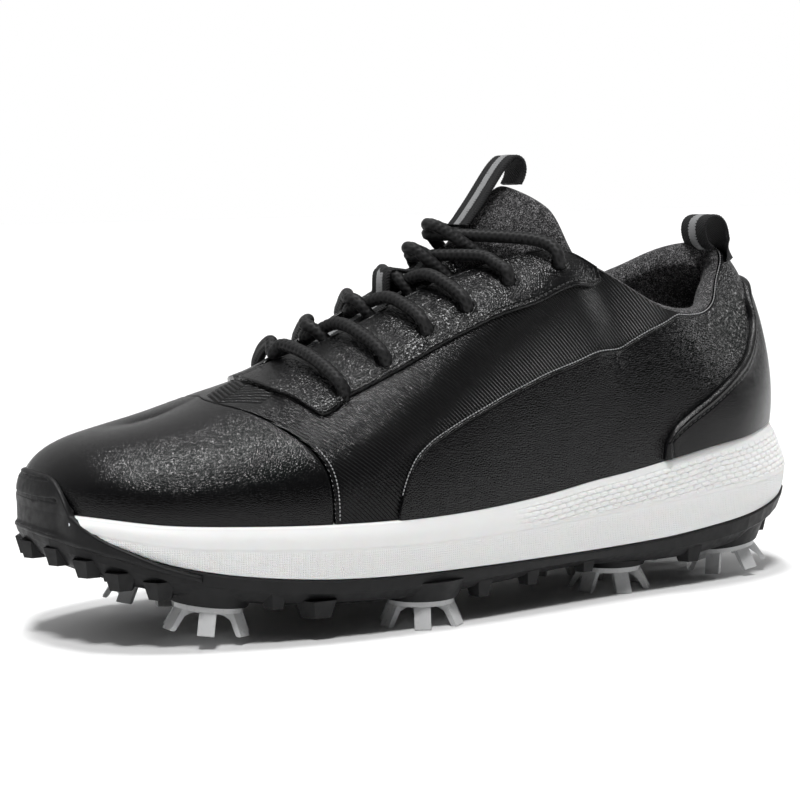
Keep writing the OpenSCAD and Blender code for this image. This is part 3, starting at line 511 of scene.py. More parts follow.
def leather(name, dark=(0.0012, 0.0012, 0.0014), light=(0.004, 0.004, 0.0044),
            rough=(0.16, 0.26), grain=1250, ribs=False, depth=0.75):
    s = Shader(name, light, 0.4, Specular_IOR_Level=0.28)
    pebble = s.remap(s.cells(grain), 0.0, 0.55, 1.0, 0.0)
    fine = s.noise(4200, 3)
    broad = s.noise(45, 3)
    deep = s.attribute("deep")
    s.use("Base Color", s.color_mix(s.math("MULTIPLY", pebble, broad), dark, light))
    gloss = s.remap(s.math("ADD", s.math("MULTIPLY", fine, 0.5), s.math("MULTIPLY", broad, 0.5)),
                    0.25, 0.75, *rough)
    s.use("Roughness", s.math("ADD", gloss, s.math("MULTIPLY", deep, 0.45)))
    s.bump(s.noise(70, 2), 0.25, 0.0006)
    if ribs:
        x = s.math("ADD", s.axis(0), -RIB_CENTRE[0] * MM)
        z = s.math("ADD", s.axis(2), -RIB_CENTRE[1] * MM)
        r = s.math("SQRT", s.math("ADD", s.math("MULTIPLY", x, x), s.math("MULTIPLY", z, z)))
        wave = s.math("SINE", s.math("MULTIPLY", r, 2 * math.pi / (RIB_PITCH * MM)))
        shaped = s.math("MULTIPLY", s.remap(wave, -0.5, 0.6, 0.0, 1.0), s.attribute("rib"))
        s.bump(shaped, 1.0, 0.0005)
    s.bump(pebble, depth, 0.00018)
    s.bump(fine, 0.3, 0.00006)
    return s.mat


def knit(name, dark=(0.008, 0.008, 0.0085), light=(0.46, 0.45, 0.46), flecks=0.48):
    s = Shader(name, dark, 0.92, Sheen_Weight=0.08, Sheen_Roughness=0.6, Specular_IOR_Level=0.15)
    fleck = s.remap(s.noise(1900, 4, 0.8), flecks, flecks + 0.2, 0.0, 1.0)
    tone = s.remap(s.noise(500, 3, 0.65), 0.35, 0.6, 0.25, 1.0)
    s.use("Base Color", s.color_mix(s.math("MULTIPLY", fleck, tone), dark, light))
    s.bump(s.noise(900, 3, 0.65), 0.9, 0.0006)
    s.bump(s.cells(1600), 0.5, 0.0003)
    return s.mat


def webbing(name, color=(0.006, 0.006, 0.0065), second=(0.02, 0.02, 0.021)):
    """Woven tape. Needs attributes s and w, its places along and across in millimetres."""
    s = Shader(name, color, 0.72, Specular_IOR_Level=0.25)
    a, w = s.attribute("s"), s.attribute("w")
    twill = s.math("SINE", s.math("MULTIPLY", s.math("ADD", a, s.math("MULTIPLY", w, 0.6)), 6.3))
    cross = s.math("SINE", s.math("MULTIPLY", w, 9.0))
    weave = s.math("ADD", s.math("MULTIPLY", twill, 0.6), s.math("MULTIPLY", cross, 0.4))
    s.use("Base Color", s.color_mix(s.remap(weave, -1, 1, 0, 1), color, second))
    s.bump(weave, 0.7, 0.00025)
    s.bump(s.noise(5000), 0.3, 0.00008)
    return s.mat


def rubber(name, color=(0.006, 0.006, 0.0065), rough=(0.42, 0.6)):
    s = Shader(name, color, 0.5, Specular_IOR_Level=0.25)
    s.use("Roughness", s.remap(s.noise(350, 4), 0.3, 0.7, *rough))
    s.use("Base Color", s.color_mix(s.noise(120, 3), tuple(0.75 * c for c in color),
                                    tuple(1.35 * c for c in color)))
    s.bump(s.noise(2600, 2), 0.3, 0.00012)
    s.bump(s.noise(160, 2), 0.15, 0.0004)
    return s.mat


def foam(name):
    """White midsole foam: attribute knurl masks the fine hatching, s runs round the sole."""
    s = Shader(name, (0.8, 0.8, 0.79), 0.5, Subsurface_Weight=0.12, Subsurface_Scale=0.004,
               Specular_IOR_Level=0.4)
    a = s.attribute("s")
    z = s.math("MULTIPLY", s.axis(2), 1000.0)
    one = s.math("SINE", s.math("MULTIPLY", s.math("ADD", a, z), 4.0))
    two = s.math("SINE", s.math("MULTIPLY", s.math("SUBTRACT", a, z), 4.0))
    hatch = s.math("MULTIPLY", s.math("MULTIPLY", one, two), s.attribute("knurl"))
    soil = s.remap(s.noise(60, 4), 0.45, 0.8, 0.0, 0.3)
    s.use("Base Color", s.color_mix(soil, (0.86, 0.86, 0.855), (0.77, 0.765, 0.75)))
    s.use("Roughness", s.remap(s.noise(900, 3), 0.3, 0.7, 0.42, 0.6))
    s.bump(hatch, 0.6, 0.0002)
    s.bump(s.noise(2200, 2), 0.15, 0.0001)
    return s.mat


def thread(name, color, rough=0.6):
    s = Shader(name, color, rough, Sheen_Weight=0.2)
    s.use("Base Color", s.color_mix(s.noise(1800, 3), tuple(0.7 * c for c in color), color))
    s.bump(s.noise(5200, 2), 0.5, 0.00015)
    return s.mat


def moulded(name, color, rough=(0.3, 0.42), metal=0.0):
    s = Shader(name, color, 0.4, Metallic=metal, Specular_IOR_Level=0.5)
    s.use("Base Color", s.color_mix(s.noise(210, 4), tuple(0.8 * c for c in color), color))
    s.use("Roughness", s.remap(s.noise(600, 3), 0.3, 0.7, *rough))
    s.bump(s.noise(1900, 3), 0.12, 0.00012)
    return s.mat


def braid(name):
    s = Shader(name, (0.006, 0.006, 0.0065), 0.62, Specular_IOR_Level=0.3)
    over = s.attribute("over")
    # Painted shade: the colour follows the braid's relief, darkest in the crevices between the strands of
    # one black yarn.
    s.use("Base Color", s.color_mix(over, (0.0008, 0.0008, 0.0009), (0.012, 0.012, 0.0125)))
    s.use("Roughness", s.remap(over, 0, 1, 0.8, 0.5))
    s.bump(s.noise(6500, 2), 0.5, 0.00012)
    return s.mat


RIB_CENTRE = (-150, -61)
RIB_PITCH = 1.15

MAT = {
    "leather": leather("leather"),
    "ribbed": leather("ribbed_leather", ribs=True, depth=0.4, grain=1700),
    "vamp": leather("vamp_leather", grain=1550, depth=0.5),
    "overlay": leather("overlay_leather", rough=(0.2, 0.3), grain=1700, depth=0.35),
    "knit": knit("heather_knit"),
    "lining": knit("dark_knit", light=(0.16, 0.16, 0.165)),
    "webbing": webbing("webbing"),
    "stripe": thread("reflective_stripe", (0.25, 0.255, 0.26), 0.35),
    "rubber": rubber("rubber"),
    "foam": foam("midsole_foam"),
    "thread_dark": thread("dark_thread", (0.02, 0.02, 0.02)),
    "thread_light": thread("light_thread", (0.45, 0.45, 0.46)),
    "braid": braid("braided_lace"),
    "cleat": moulded("cleat_plastic", (0.58, 0.585, 0.59), (0.25, 0.36)),
    "black_plastic": moulded("black_plastic", (0.012, 0.012, 0.012)),
    "board": moulded("fibre_board", (0.4, 0.36, 0.28), (0.6, 0.8)),
    "film": moulded("aglet_film", (0.01, 0.01, 0.01), (0.12, 0.2)),
}

CAD_LOOKS = {"outsole": "rubber", "receptacles": "black_plastic", "shank_plate": "black_plastic",
             "insole_board": "board", "toe_puff": "board", "heel_counter": "board",
             "aglets": "film"}


def dress_cad_nodes():
    for name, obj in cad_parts.items():
        look = CAD_LOOKS.get(name, "cleat" if name.startswith("cleat_") else None)
        if look:
            obj.data.materials.clear()
            obj.data.materials.append(MAT[look])


# ---- The upper's panels ----
def side_u(u, inner):
    return N - u if inner else u


def across_toe(v_half):
    """Places across the toe, from rim to rim over the crest: the side, 1 or -1, and v."""
    n = len(v_half)
    return np.repeat([1, -1], [n, n - 1]), np.concatenate([v_half, v_half[-2::-1]])


def toe_vamp():
    r = spaced(75, 3, 0.4, 1.0)
    side, v = across_toe(np.concatenate([np.linspace(0, 0.9, 90), np.linspace(0.905, 1, 18)]))
    u = side * (r[:, None] * (along(VAMP_EDGE, v) - 0.02))
    panel_mesh("toe_vamp_leather", u, v, 0.05, PANEL_T + 0.05, MAT["vamp"],
               sides=(False, True, False, False), roll=0.5, replaces=["toe_vamp"],
               slot="leather", merge=True)


CHEVRON_X, CHEVRON_Y = -87, -11.5
CHEVRON_PITCH = 1.9
CHEVRON_COUNT = 7
CHEVRON_DEPTH = 0.85


def chevrons(points, edge):
    """Nested V grooves in front of the eyestays, their points on a line across the crest."""
    x, y = points[..., 0], points[..., 1]
    off = y - (CHEVRON_Y + 0.55 * (x - CHEVRON_X))
    reach = np.abs(off)
    back = x - CHEVRON_X - np.where(off < 0, 0.75, 0.1) * reach
    wave = 0.5 - 0.5 * np.cos(2 * math.pi * back / CHEVRON_PITCH)
    end = np.where(off < 0, 17, 11)
    inside = (smooth(-0.3, 0.3, back) * smooth(-0.3, 0.3, CHEVRON_COUNT * CHEVRON_PITCH - back)
              * (1 - smooth(end - 2, end, reach)))
    return -CHEVRON_DEPTH * inside * wave


def side_wrap(inner):
    """The ribbed base panel, its crest chevrons and its plain stretch under the quarter."""
    s = np.concatenate([spaced(20, 3, 0.25, 0.35) * 0.085, np.linspace(0.087, 0.55, 150),
                        np.linspace(0.555, 0.9995, 110)])
    v = np.concatenate([np.linspace(0, 0.55, 60), np.linspace(0.553, 1, 130)])
    start = along(VAMP_EDGE, v)
    u = start + (HEEL_U - start) * s[:, None]
    name = "wrap_inner" if inner else "wrap_outer"

    obj = panel_mesh(name + "_leather", side_u(u, inner), v, 0.05, PANEL_T, MAT["ribbed"],
                     chevrons, sides=(True, False, False, False), roll=0.5, flip=inner,
                     replaces=[name], slot="leather")
    count = len(obj.data.vertices)
    co = np.zeros(count * 3)
    obj.data.vertices.foreach_get("co", co)
    co = co.reshape(-1, 3) / MM
    crest = smooth(-71, -66, co[:, 0]) + smooth(-24, -31, co[:, 1]) + smooth(20, 27, co[:, 1])
    layer = obj.data.attributes.new("rib", "FLOAT", "POINT")
    layer.data.foreach_set("value", np.clip(crest, 0, 1).astype(np.float32))


def eyestay(inner):
    """The eyelet panel: a stitched groove near its edge, and six punched holes."""
    us = 4.6 + (9.75 - 4.6) * spaced(150, 4, 0.4, 0.9)
    t = spaced(38, 4, 0.4, 0.8)
    low = along(EYESTAY_EDGE, us)[:, None]
    v = low + (1 - low) * t

    def relief(points, edge):
        d = -groove(edge, 1.9, 0.35, 0.16)
        for eu, ev in EYELETS:
            hole = skin(np.array([side_u(eu, inner)]), np.array([ev]), np.array([TOP_D]))[0]
            r = np.linalg.norm(points - hole, axis=-1)
            rim = 0.35 * np.exp(-((r - HOLE_R - 0.8) / 0.55)**2)
            d = d + rim - smooth(HOLE_R + 0.4, HOLE_R - 0.4, r)
        return d

    name = "eyestay_inner" if inner else "eyestay_outer"
    u = side_u(us, inner)[:, None]
    panel_mesh(name + "_leather", u, v, OVER_D - 0.3, TOP_D, MAT["leather"], relief,
               roll=0.9, flip=inner, replaces=[name], slot="leather")


def quarter(inner):
    us = 5.9 + (15.99 - 5.9) * np.concatenate([np.linspace(0, 0.1, 50)[:-1],
                                              np.linspace(0.1, 1, 210)])
    t = spaced(55, 4, 0.35, 0.9)
    v = along(QUARTER_EDGE, us)[:, None] * t

    def relief(points, edge):
        return -groove(edge, 1.1, 0.25, 0.12)

    name = "quarter_inner" if inner else "quarter_outer"
    u = side_u(us, inner)[:, None]
    panel_mesh(name + "_leather", u, v, OVER_D - 0.3, TOP_D, MAT["leather"], relief,
               sides=(True, False, False, True), roll=0.8, flip=inner, replaces=[name],
               slot="leather")


def heel_overlay():
    us = 10.75 + (21.25 - 10.75) * spaced(165, 5, 0.35, 0.9)
    t = spaced(42, 5, 0.35, 0.8)
    v = 0.01 + (along(HEEL_EDGE, from_toe(us))[:, None] - 0.01) * t

    def relief(points, edge):
        piping = 0.7 * np.exp(-((edge - 1.7) / 0.95)**2)
        return piping - groove(edge, 3.7, 0.4, 0.35)

    panel_mesh("heel_overlay_leather", us[:, None], v, TOP_D, TOP_D + PLY_GAP + OVERLAY_T, MAT["overlay"],
               relief, sides=(True, True, False, True), roll=1.2, replaces=["heel_overlay"],
               slot="leather")


def path_below(edge_rows, us, offset, d):
    """A path that stays offset millimetres below a panel's edge curve, with its normals."""
    v = along(edge_rows, from_toe(us))
    speed = np.linalg.norm(skin(us, v, 0) - skin(us, v - 0.01, 0), axis=-1) / 0.01
    v = v - offset / speed
    return with_normals(us, v, d)


def with_normals(u, v, d):
    """Points d outside the base surface, with the directions that lead out of it."""
    points = skin(u, v, d)
    return points, unit(skin(u, v, d + 1.0) - points)


def panel_stitching():
    rows_light, rows_dark = [], []
    for inner in (False, True):
        us = side_u(np.linspace(5.95, 15.9, 500), inner)
        rows_light.append(path_below(QUARTER_EDGE, us, -0.35, TOP_D - 0.9))
        us = side_u(np.linspace(4.95, 9.6, 300), inner)
        v = along(EYESTAY_EDGE, from_toe(us))
        speed = np.linalg.norm(skin(us, v, 0) - skin(us, v + 0.01, 0), axis=-1) / 0.01
        rows_dark.append(with_normals(us, v + 1.9 / speed, TOP_D - 0.12))
    stitches("quarter_edge_stitches", rows_light, MAT["thread_light"], 1.25, 0.95, 0.22)
    stitches("eyestay_stitches", rows_dark, MAT["thread_dark"], 2.1, 1.6, 0.24)
    us = np.linspace(11.0, 21.0, 700)
    rows = [path_below(HEEL_EDGE, us, 3.7, TOP_D + PLY_GAP + OVERLAY_T - 0.3)]
    stitches("heel_overlay_stitches", rows, MAT["thread_dark"], 2.4, 1.9, 0.3)
    rows = []
    for sign in (1, -1):
        v = np.linspace(0.02, 0.36, 60)
        rows.append(with_normals(sign * (along(VAMP_EDGE, v) + 0.06), v, PANEL_T))
    stitches("vamp_edge_stitches", rows, MAT["thread_light"], 1.25, 0.9, 0.2)


# ---- Linings, collar and footbed ----
def linings():
    side, v = across_toe(np.linspace(0, 1, 40))
    u = side * (np.linspace(0, 1, 40)[:, None] * (THROAT_U - 0.02))
    panel_mesh("vamp_lining_knit", u, v, -UNDER_T, -UNDER_T + LINING_T, MAT["lining"],
               sides=(False,) * 4, replaces=["vamp_lining"], slot="lining", merge=True)
    for inner in (False, True):
        u = side_u(np.linspace(THROAT_U, 9.55, 90), inner)[:, None]
        v = np.linspace(0, 1, 70)
        name = "lining_inner" if inner else "lining_outer"
        panel_mesh(name + "_knit", u, v, -UNDER_T, -UNDER_T + LINING_T,
                   MAT["lining"], sides=(False, False, False, True), roll=0.5, flip=inner,
                   replaces=[name], slot="lining")


def pad(u, v):
    k = np.clip((from_toe(u) - 9.6) / 1.6, 0, 1)
    t = np.clip((v - 0.35) / 0.3, 0, 1)
    return COLLAR_PAD_T * k * t * t * (3 - 2 * t)


def collar():
    """The padded knit collar: down the inside, and rolled over the top line."""
    us = np.linspace(9.3, 22.7, 260)
    v_in = np.linspace(0.0, 0.97, 44)
    roll = np.linspace(0, math.pi, 16)
    rows = []
    for u in us:
        uu = np.full(v_in.shape, u)
        d_in = -UNDER_T + LINING_T - 0.3 - pad(uu, v_in) - 1.0
        inside = skin(uu, v_in, d_in)
        end = d_in[-1]
        mid, half = (end + 1.1) / 2, (1.1 - end) / 2
        over = skin(u, 0.985, mid - half * np.cos(roll))
        taper = smooth(9.3, 9.9, from_toe(u))
        at_heel = smooth(10.5, 14, from_toe(u))
        over[:, 2] += (1.6 + 0.35 * half + 1.2 * at_heel) * np.sin(roll) * taper
        back = skin(uu[::-1], v_in[::-1], np.full(v_in.shape, -UNDER_T + LINING_T - 0.25))
        rows.append(np.concatenate([inside, over, back]))
    grid = np.array(rows)
    n_rows, n_cols = grid.shape[:2]
    faces = grid_faces(n_rows, n_cols, wrap_cols=True)
    first = list(range(n_cols))
    last = [(n_rows - 1) * n_cols + k for k in range(n_cols)]
    faces = faces.tolist() + [first[::-1], last]
    obj = make("collar_padding", grid.reshape(-1, 3), faces, MAT["knit"],
               replaces=["collar_lining", "collar_foam"], slot="knit", merge=True)


def footbed():
    u = np.linspace(0, N, 360, endpoint=False)
    rings = []
    for d, dz in ((-6.1, 2.2 - CUP_DEEP), (-6.1, 0.4), (-6.6, 1.1), (-7.8, 1.4)):
        p = plan(u, np.full(u.shape, float(d)))
        rings.append(np.column_stack([p, around(u)[:, 2] + dz]))
    grid = np.array(rings)
    faces = grid_faces(*grid.shape[:2], wrap_cols=True, flip=True).tolist()
    n = len(u)
    top = (len(rings) - 1) * n
    for i in range(n // 2):
        j = n - i
        a, b, c, d = i, i + 1, j - 1, j % n
        quad = [a, b, c, d] if i else [a, b, c]
        if b == c:
            quad = [a, b, d]
        faces.append([top + k for k in quad])
        faces.append(quad[::-1])
    make("sockliner_knit", grid.reshape(-1, 3), faces, MAT["lining"], replaces=["sockliner"],
         slot="sockliner", merge=True)


# ---- Tongue ----
def tongue():
    s = (len(TONGUE) - 1) * spaced(150, 5, 0.6, 1.4)
    q = -2 + 4 * spaced(60, 5, 0.6, 1.2)
    ss, qq = np.meshgrid(s, q, indexing="ij")
    base = tongue_skin(ss, qq, 0)
    edge = edge_distance(base, (False, True, True, True))
    half = 2.1 * np.sqrt(np.maximum(0, 1 - np.clip(1 - edge / 4.0, 0, 1)**2)) + 0.15
    puff = 0.5 * smooth(3, 12, edge)
    outer = tongue_skin(ss, qq, -2.1 + half + puff * (ss > 6.3) * smooth(6.3, 7.5, ss))
    inner = tongue_skin(ss, qq, -2.1 - half)
    obj = make_shell("tongue_padding", outer, inner, MAT["knit"], replaces=["tongue_body"],
                     slot="knit")

    s = 1.2 + 5.3 * spaced(95, 3, 0.5, 1.0)
    q = -1.15 + 2.3 * spaced(34, 3, 0.5, 1.0)
    ss, qq = np.meshgrid(s, q, indexing="ij")
    edge = edge_distance(tongue_skin(ss, qq, 0))
    outer = tongue_skin(ss, qq, 1.2 - np.minimum(rolled(edge, 0.7), 0.9)
                        - groove(edge, 2.0, 0.4, 0.2))
    make_shell("tongue_face_leather", outer, tongue_skin(ss, qq, 0), MAT["leather"],
               replaces=["tongue_face"], slot="tongue_face")


def tape(name, path, width, y, node, stripe, sag=(0, 0)):
    """Webbing along an x, z path: rounded edges, and a paler woven stripe down its middle.

    Its last quarter sags toward the toe at its two edges, by the two lengths in sag.
    """
    pts, tan, s = resample(np.insert(path, 1, 0, axis=1), 0.5)
    nor = np.stack([-tan[:, 2], 0 * s, tan[:, 0]], -1)
    cross = np.linspace(-1, 1, 25)
    bend = np.clip(4 * s / s[-1] - 3, 0, 1)

    def across(w):
        """How far a line at w, from -1 to 1 across the tape, lies from its middle line."""
        return np.stack([-bend * w * w * sag[int(w > 0)], 0 * s + w * width / 2 + y, 0 * s], -1)

    top, low = [], []
    for w in cross:
        e = (1 - abs(w)) * width / 2
        h = WEB_T / 2 * math.sqrt(max(0.0, 1 - max(0, 1 - e / 0.8)**2)) + 0.03
        rib = 0.08 * np.sin(s * 2 * math.pi / 1.1 + w * 9)
        top.append(pts + nor * (h + rib)[:, None] + across(w))
        low.append(pts - nor * (h + rib)[:, None] + across(w))
    attrs = {"s": np.tile(np.repeat(s, len(cross)), 2), "w": np.tile(cross * width / 2, 2 * len(s))}
    make_shell(name, np.stack(top, 1), np.stack(low, 1), MAT["webbing"], attrs, replaces=[node],
               slot="webbing")

    rib = 0.07 * np.sin(s * 2 * math.pi / 0.9)
    lines = np.linspace(-1, 1, 7) * stripe / width
    grid = np.stack([pts + nor * (WEB_T / 2 + 0.14 + rib - 0.12 * (i in (0, 6)))[:, None]
                     + across(w) for i, w in enumerate(lines)], 1)
    base = np.stack([pts + nor * (WEB_T / 2 - 0.3) + across(w) for w in lines], 1)
    make_shell(name + "_stripe", grid, base, MAT["stripe"], slot="webbing")


def smooth_path(rows, n=12):
    return open_row(rows, np.linspace(0, len(rows) - 1, (len(rows) - 1) * n + 1))


def strip_lift(s):
    """How far the tongue strip rises, as the keeper over a lace crossing."""
    t = np.clip(1 - np.abs(s - KEEPER_S) / 0.75, 0, 1)
    return (2 * LACE_D + 1.2) * t * t * (3 - 2 * t)


def tapes():
    s = np.linspace(2.45, 6.1, 210)
    mid = tongue_skin(s, 0 * s, 1.3 + WEB_T / 2 + strip_lift(s))
    tape("tongue_strip_webbing", mid[:, [0, 2]], STRIP_W, MID_Y, "tongue_strip", 5)
    tape("tongue_pull_webbing", smooth_path(LOOP_PATH), LOOP_W, MID_Y, "tongue_loop", 4.6)
    tape("heel_pull_webbing", smooth_path(TAB_PATH), TAB_W, HEEL_Y, "heel_tab", 5, TAB_SAG)


# ---- Lace ----
def lace():
    """The round braid along its route, its strands raised in two crossing helices."""
    path = smooth_path(LACE_PATH, 14)
    pts, tan, s = resample(path, 0.55)
    side = frames_along(tan, np.array([0.3, 1.0, 0.2]))
    third = np.cross(tan, side)
    ring = 24
    a = np.arange(ring) * 2 * math.pi / ring
    strands, pitch = 8, 9.0
    turn = 2 * math.pi * s[:, None] / pitch
    one = np.cos(strands / 2 * (a[None] + turn))
    two = np.cos(strands / 2 * (a[None] - turn))
    weave = np.maximum(one, two)
    radius = LACE_D / 2 + 0.12 + 0.22 * weave
    verts = (pts[:, None] + radius[..., None] * (np.cos(a)[None, :, None] * side[:, None]
                                                 + np.sin(a)[None, :, None] * third[:, None]))
    faces = grid_faces(len(s), ring, wrap_cols=True, flip=True).tolist()
    faces.append(list(range(ring)))
    faces.append([(len(s) - 1) * ring + k for k in range(ring - 1, -1, -1)])
    # over is the braid's relief height; the braid material uses it to paint shade into the crevices
    # between strands.
    attrs = {"over": np.clip(0.5 + 0.5 * weave, 0, 1)}
    make("lace_braid", verts.reshape(-1, 3), faces, MAT["braid"], attrs, replaces=["lace"],
         slot="lace")


# ---- Sole ----
def heel_flare(u):
    """How much wider the foam grows toward its ridge, round the heel."""
    return 6 * smooth(11.5, 15, from_toe(u))


def sole_out(u, d):
    """An offset d, drawn in at the toe to make room for the bumper."""
    return np.where(from_toe(u) < 1.55, np.minimum(d, 0.3), d)


def midsole():
    """The white foam: a plain front, a woven upper band behind, a hatched lower band."""
    u = np.linspace(0, N, 2000, endpoint=False)
    k = around(u)
    foot_z = k[:, 2]
    x0 = plan(u, np.full(u.shape, SOLE_OUT))
    step = np.linalg.norm(np.diff(x0, axis=0, append=x0[:1]), axis=1)
    run = np.concatenate([[0], np.cumsum(step)[:-1]])
    flare = heel_flare(u)
    ridge, line = along(RIDGE_Z, x0[:, 0]), along(LINE_Z, x0[:, 0])
    rings, knurl = [], []

    def ring(d, z, fl, mask=0.0, relief=0.0):
        p = plan(u, sole_out(u, d + fl * flare) + relief)
        rings.append(np.column_stack([p, z]))
        knurl.append(np.full(u.shape, mask))

    ring(-5.5, foot_z - CUP_DEEP, 0)
    ring(-5.2, foot_z - 0.6, 0)
    ring(-4.6, foot_z - 0.25, 0)
    for t in np.linspace(0, 1, 5):
        ring(-4.6 + (SOLE_OUT + 3.8) * t, foot_z - 0.25, 0.1 * t)
    for t in np.linspace(0.2, 1, 4):
        a = t * math.pi / 2
        ring(SOLE_OUT - 0.8 + 0.75 * math.sin(a), foot_z - 0.25 - 0.9 * (1 - math.cos(a)),
             0.1 + 0.1 * t)
    for t in np.linspace(0.02, 1, 60):
        z = (foot_z - 1.15) * (1 - t) + (ridge + 0.5) * t
        down = t * np.maximum(foot_z - ridge, 1)
        fade = smooth(4, 22, x0[:, 0]) * smooth(0.06, 0.2, t) * smooth(0.99, 0.93, t)
        ring(SOLE_OUT - 0.05 + 0.95 * t + 0.5 * math.sin(math.pi * t), z, 0.2 + 0.8 * t,
             0.0, fade * weave_relief(run, down) * (from_toe(u) > 1.7))
    ring(SOLE_OUT + 0.9, ridge - 0.1, 1)
    ring(SOLE_OUT + 0.62, ridge - 0.35, 1)
    for t in np.linspace(0.02, 1, 14):
        z = (ridge - 0.4) * (1 - t) + (line + 0.3) * t
        ring(SOLE_OUT + 0.6 - 0.9 * t + 0.45 * math.sin(math.pi * t), z, 1 - 0.1 * t,
             float(min(1, 6 * t, 6 * (1 - t))))
    ring(SOLE_OUT - 1.2, line, 0.9)
    grid = np.array(rings)
    n_rings, n = grid.shape[:2]
    faces = grid_faces(n_rings, n, wrap_cols=True).tolist()
    for i in range(n // 2):
        quad = [i, i + 1, n - i - 1, (n - i) % n]
        if i == 0:
            quad = [0, 1, n - 1]
        if quad[1] == quad[2]:
            continue
        faces.append(quad[::-1])
        faces.append([(n_rings - 1) * n + k for k in quad])
    attrs = {"knurl": np.array(knurl).ravel(), "s": np.tile(run, n_rings)}
    make("midsole_foam", grid.reshape(-1, 3), faces, MAT["foam"], attrs, replaces=["midsole"],
         slot="foam", merge=True)


def weave_relief(run, down):
    """Bricks in a basket weave: raised pads with dips where the rows and columns meet."""
    wide, tall = 3.9, 2.0
    row = np.floor(down / tall)
    x = (run + 0.5 * wide * (row % 2)) / wide
    fx, fy = x - np.floor(x), down / tall - row
    pad_x = smooth(0.0, 0.16, fx) * smooth(1.0, 0.84, fx)
    pad_y = smooth(0.0, 0.24, fy) * smooth(1.0, 0.76, fy)
    crown = 0.7 + 0.3 * np.sin(math.pi * fx)
    return 0.6 * pad_x * pad_y * crown - 0.2


# The bumper's outline: u, and how high its upper edge lies. Heights from 0 to 1 run from the
# rubber's line up to the foot's rim, and above 1 on up the toe.
BUMPER_TOP = np.array([[0, 1.27], [0.6, 1.265], [0.85, 1.255], [1.05, 1.225], [1.2, 1.18],
                       [1.35, 1.125], [1.48, 1.065], [1.6, 0.99], [1.68, 0.9], [1.8, 0.74],
                       [1.95, 0.57], [2.2, 0.37], [2.5, 0.23], [2.9, 0.1], [3.4, 0.02]], float)
# Each groove's height above the ground, half width in u and depth.
GROOVES = ((55.3, 0.95, 0.7), (49.0, 1.25, 0.9))


def bumper():
    """The rubber toe bumper: two moulded grooves, and wings that sweep down round the foam."""
    reach = BUMPER_TOP[-1, 0]
    u = -reach + 2 * reach * spaced(150, 5, 0.4, 0.7)
    top = along(BUMPER_TOP, np.abs(u))
    t = np.concatenate([np.linspace(0, 0.85, 70), np.linspace(0.86, 1, 30)])
    uu, tt = np.meshgrid(u, t, indexing="ij")
    k = -0.12 + (top[:, None] + 0.12) * tt
    side = smooth(1.15, 1.75, np.abs(uu))
    toe = 2.9 + 1.3 * smooth(0.3, -0.1, k)
    thick = toe * (1 - side) + (SOLE_OUT + 1.45) * side

    def surface(less):
        d = thick - less
        p = plan(uu, d)
        line, foot = along(LINE_Z, p[..., 0]), around(uu)[..., 2]
        low = np.clip(k, None, 1)
        z = (line - 1.5) * (1 - low) + foot * low
        wall = np.concatenate([p, z[..., None]], -1)
        rise = np.clip(k - 1, 0, 1)
        on_skin = skin(uu, rise, d - 0.3 * smooth(0.05, 0.26, rise))
        blend = smooth(0.92, 1.06, k)[..., None]
        return wall * (1 - blend) + on_skin * blend

    outer = surface(0.0)
    inner = surface(1.2 * (1 - side) + 2.6 * side)
    out = unit(outer - inner)
    edge = edge_distance(outer)
    cut = 0
    for level, span, deep in GROOVES:
        cut = cut + (deep * np.exp(-((outer[..., 2] - level) / 0.5)**4)
                     * smooth(span, span - 0.12, np.abs(uu)))
    drop = np.minimum(rolled(edge, 1.6), 1.1 + side)
    outer = outer - out * (drop + cut * smooth(0.5, 2, edge))[..., None]
    make_shell("toe_bumper_rubber", outer, inner, MAT["rubber"], slot="rubber", merge=True)


# ---- Stage, light and camera ----
LOOK_AT = Vector((-10.8, 1.5, 72.55)) * MM
AZIMUTH, ELEVATION, ROLL = math.radians(-26.51), math.radians(5.64), math.radians(-1.15)
DISTANCE = 748.5 * MM
LENS, SENSOR = 93.6, 36


def camera():
    data = bpy.data.cameras.new("camera")
    data.sensor_width = SENSOR
    data.lens = LENS
    data.clip_start, data.clip_end = 0.05, 30
    cam = bpy.data.objects.new("camera", data)
    bpy.context.scene.collection.objects.link(cam)
    back = Vector((math.sin(AZIMUTH) * math.cos(ELEVATION),
                   -math.cos(AZIMUTH) * math.cos(ELEVATION), math.sin(ELEVATION)))
    turn = (-back).to_track_quat("-Z", "Y").to_matrix() @ Matrix.Rotation(ROLL, 3, "Z")
    cam.matrix_world = Matrix.Translation(LOOK_AT + back * DISTANCE) @ turn.to_4x4()
    bpy.context.scene.camera = cam


def stage():
    """A plain pale floor."""
    half = 12.0
    mesh = bpy.data.meshes.new("studio_floor")
    mesh.from_pydata([(-half, -half, 0), (half, -half, 0), (half, half, 0), (-half, half, 0)], [],
                     [(0, 1, 2, 3)])
    floor = bpy.data.objects.new("studio_floor", mesh)
    bpy.context.scene.collection.objects.link(floor)
    s = Shader("studio_floor", (0.9, 0.9, 0.9), 0.7, Specular_IOR_Level=0.1)
    s.use("Roughness", s.remap(s.noise(4, 2), 0.3, 0.7, 0.65, 0.8))
    mesh.materials.append(s.mat)


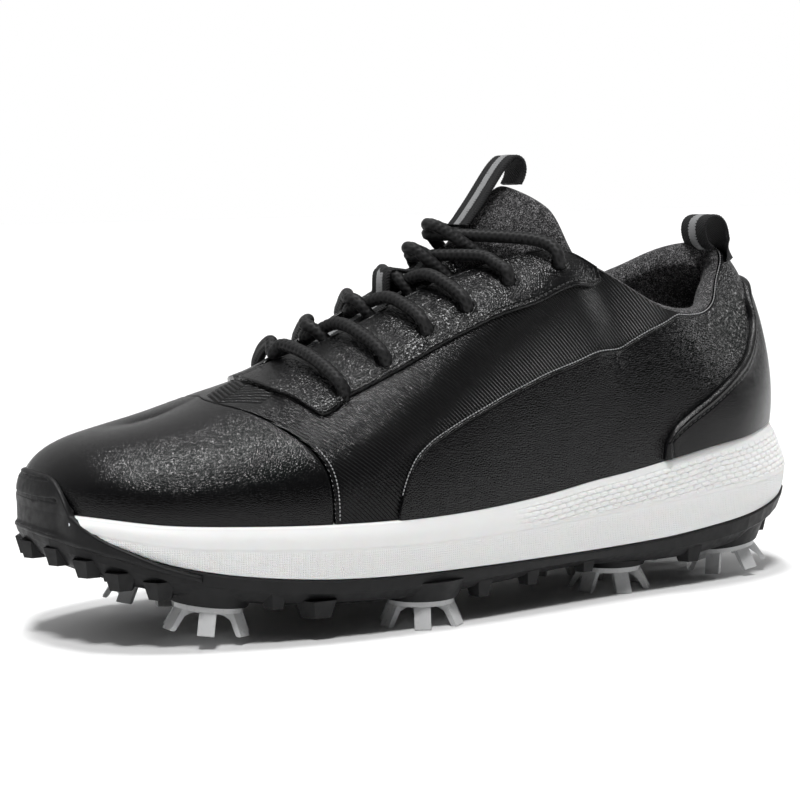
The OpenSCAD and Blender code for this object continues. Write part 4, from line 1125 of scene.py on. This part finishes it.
# The two overhead lamps: name, strength and the direction that each shines from.
SOFTBOXES = (("softbox_toe", 1.9, (-0.18, -0.36, 0.91)), ("softbox_laces", 1.45, (-0.04, 0.04, 1)))
SOFTBOX_SPREAD = math.radians(11)
HEEL_STRIP_AT, HEEL_STRIP_AIM = Vector((1.2, -0.02, 0.5)), Vector((0.12, 0, 0.09))
HEEL_STRIP_SIZE, HEEL_STRIP_POWER = 0.3, 2


def lamp(name, kind, power, shines_from):
    data = bpy.data.lights.new(name, kind)
    data.energy = power
    made = bpy.data.objects.new(name, data)
    made.rotation_euler = shines_from.to_track_quat("Z", "Y").to_euler()
    bpy.context.scene.collection.objects.link(made)
    return made


def room():
    """A white backdrop for the camera. As a light it is dimmer on the camera's side."""
    world = bpy.data.worlds.new("studio")
    world.use_nodes = True
    nodes, link = world.node_tree.nodes, world.node_tree.links.new
    shade = nodes["Background"]
    shade.inputs["Color"].default_value = (1, 1, 1, 1)
    split = nodes.new("ShaderNodeSeparateXYZ")
    link(nodes.new("ShaderNodeTexCoord").outputs["Generated"], split.inputs[0])
    back_and_up = nodes.new("ShaderNodeMath")
    link(split.outputs["Y"], back_and_up.inputs[0])
    link(split.outputs["Z"], back_and_up.inputs[1])
    level = nodes.new("ShaderNodeMapRange")
    for key, value in (("From Min", -0.1), ("From Max", 1.2), ("To Min", 0.05), ("To Max", 0.6)):
        level.inputs[key].default_value = value
    link(back_and_up.outputs[0], level.inputs["Value"])
    seen = nodes.new("ShaderNodeMath")
    seen.operation = "MAXIMUM"
    link(nodes.new("ShaderNodeLightPath").outputs["Is Camera Ray"], seen.inputs[0])
    link(level.outputs["Result"], seen.inputs[1])
    link(seen.outputs[0], shade.inputs["Strength"])
    bpy.context.scene.world = world
    bpy.context.scene.view_settings.view_transform = "Standard"


def lights():
    for name, power, shines_from in SOFTBOXES:
        lamp(name, "SUN", power, Vector(shines_from)).data.angle = SOFTBOX_SPREAD
    strip = lamp("heel_strip", "AREA", HEEL_STRIP_POWER, HEEL_STRIP_AT - HEEL_STRIP_AIM)
    strip.location = HEEL_STRIP_AT
    strip.data.size = HEEL_STRIP_SIZE


camera()
stage()
room()
lights()
dress_cad_nodes()
toe_vamp()
for inner_side in (False, True):
    side_wrap(inner_side)
    eyestay(inner_side)
    quarter(inner_side)
heel_overlay()
panel_stitching()
linings()
collar()
footbed()
tongue()
tapes()
lace()
midsole()
bumper()
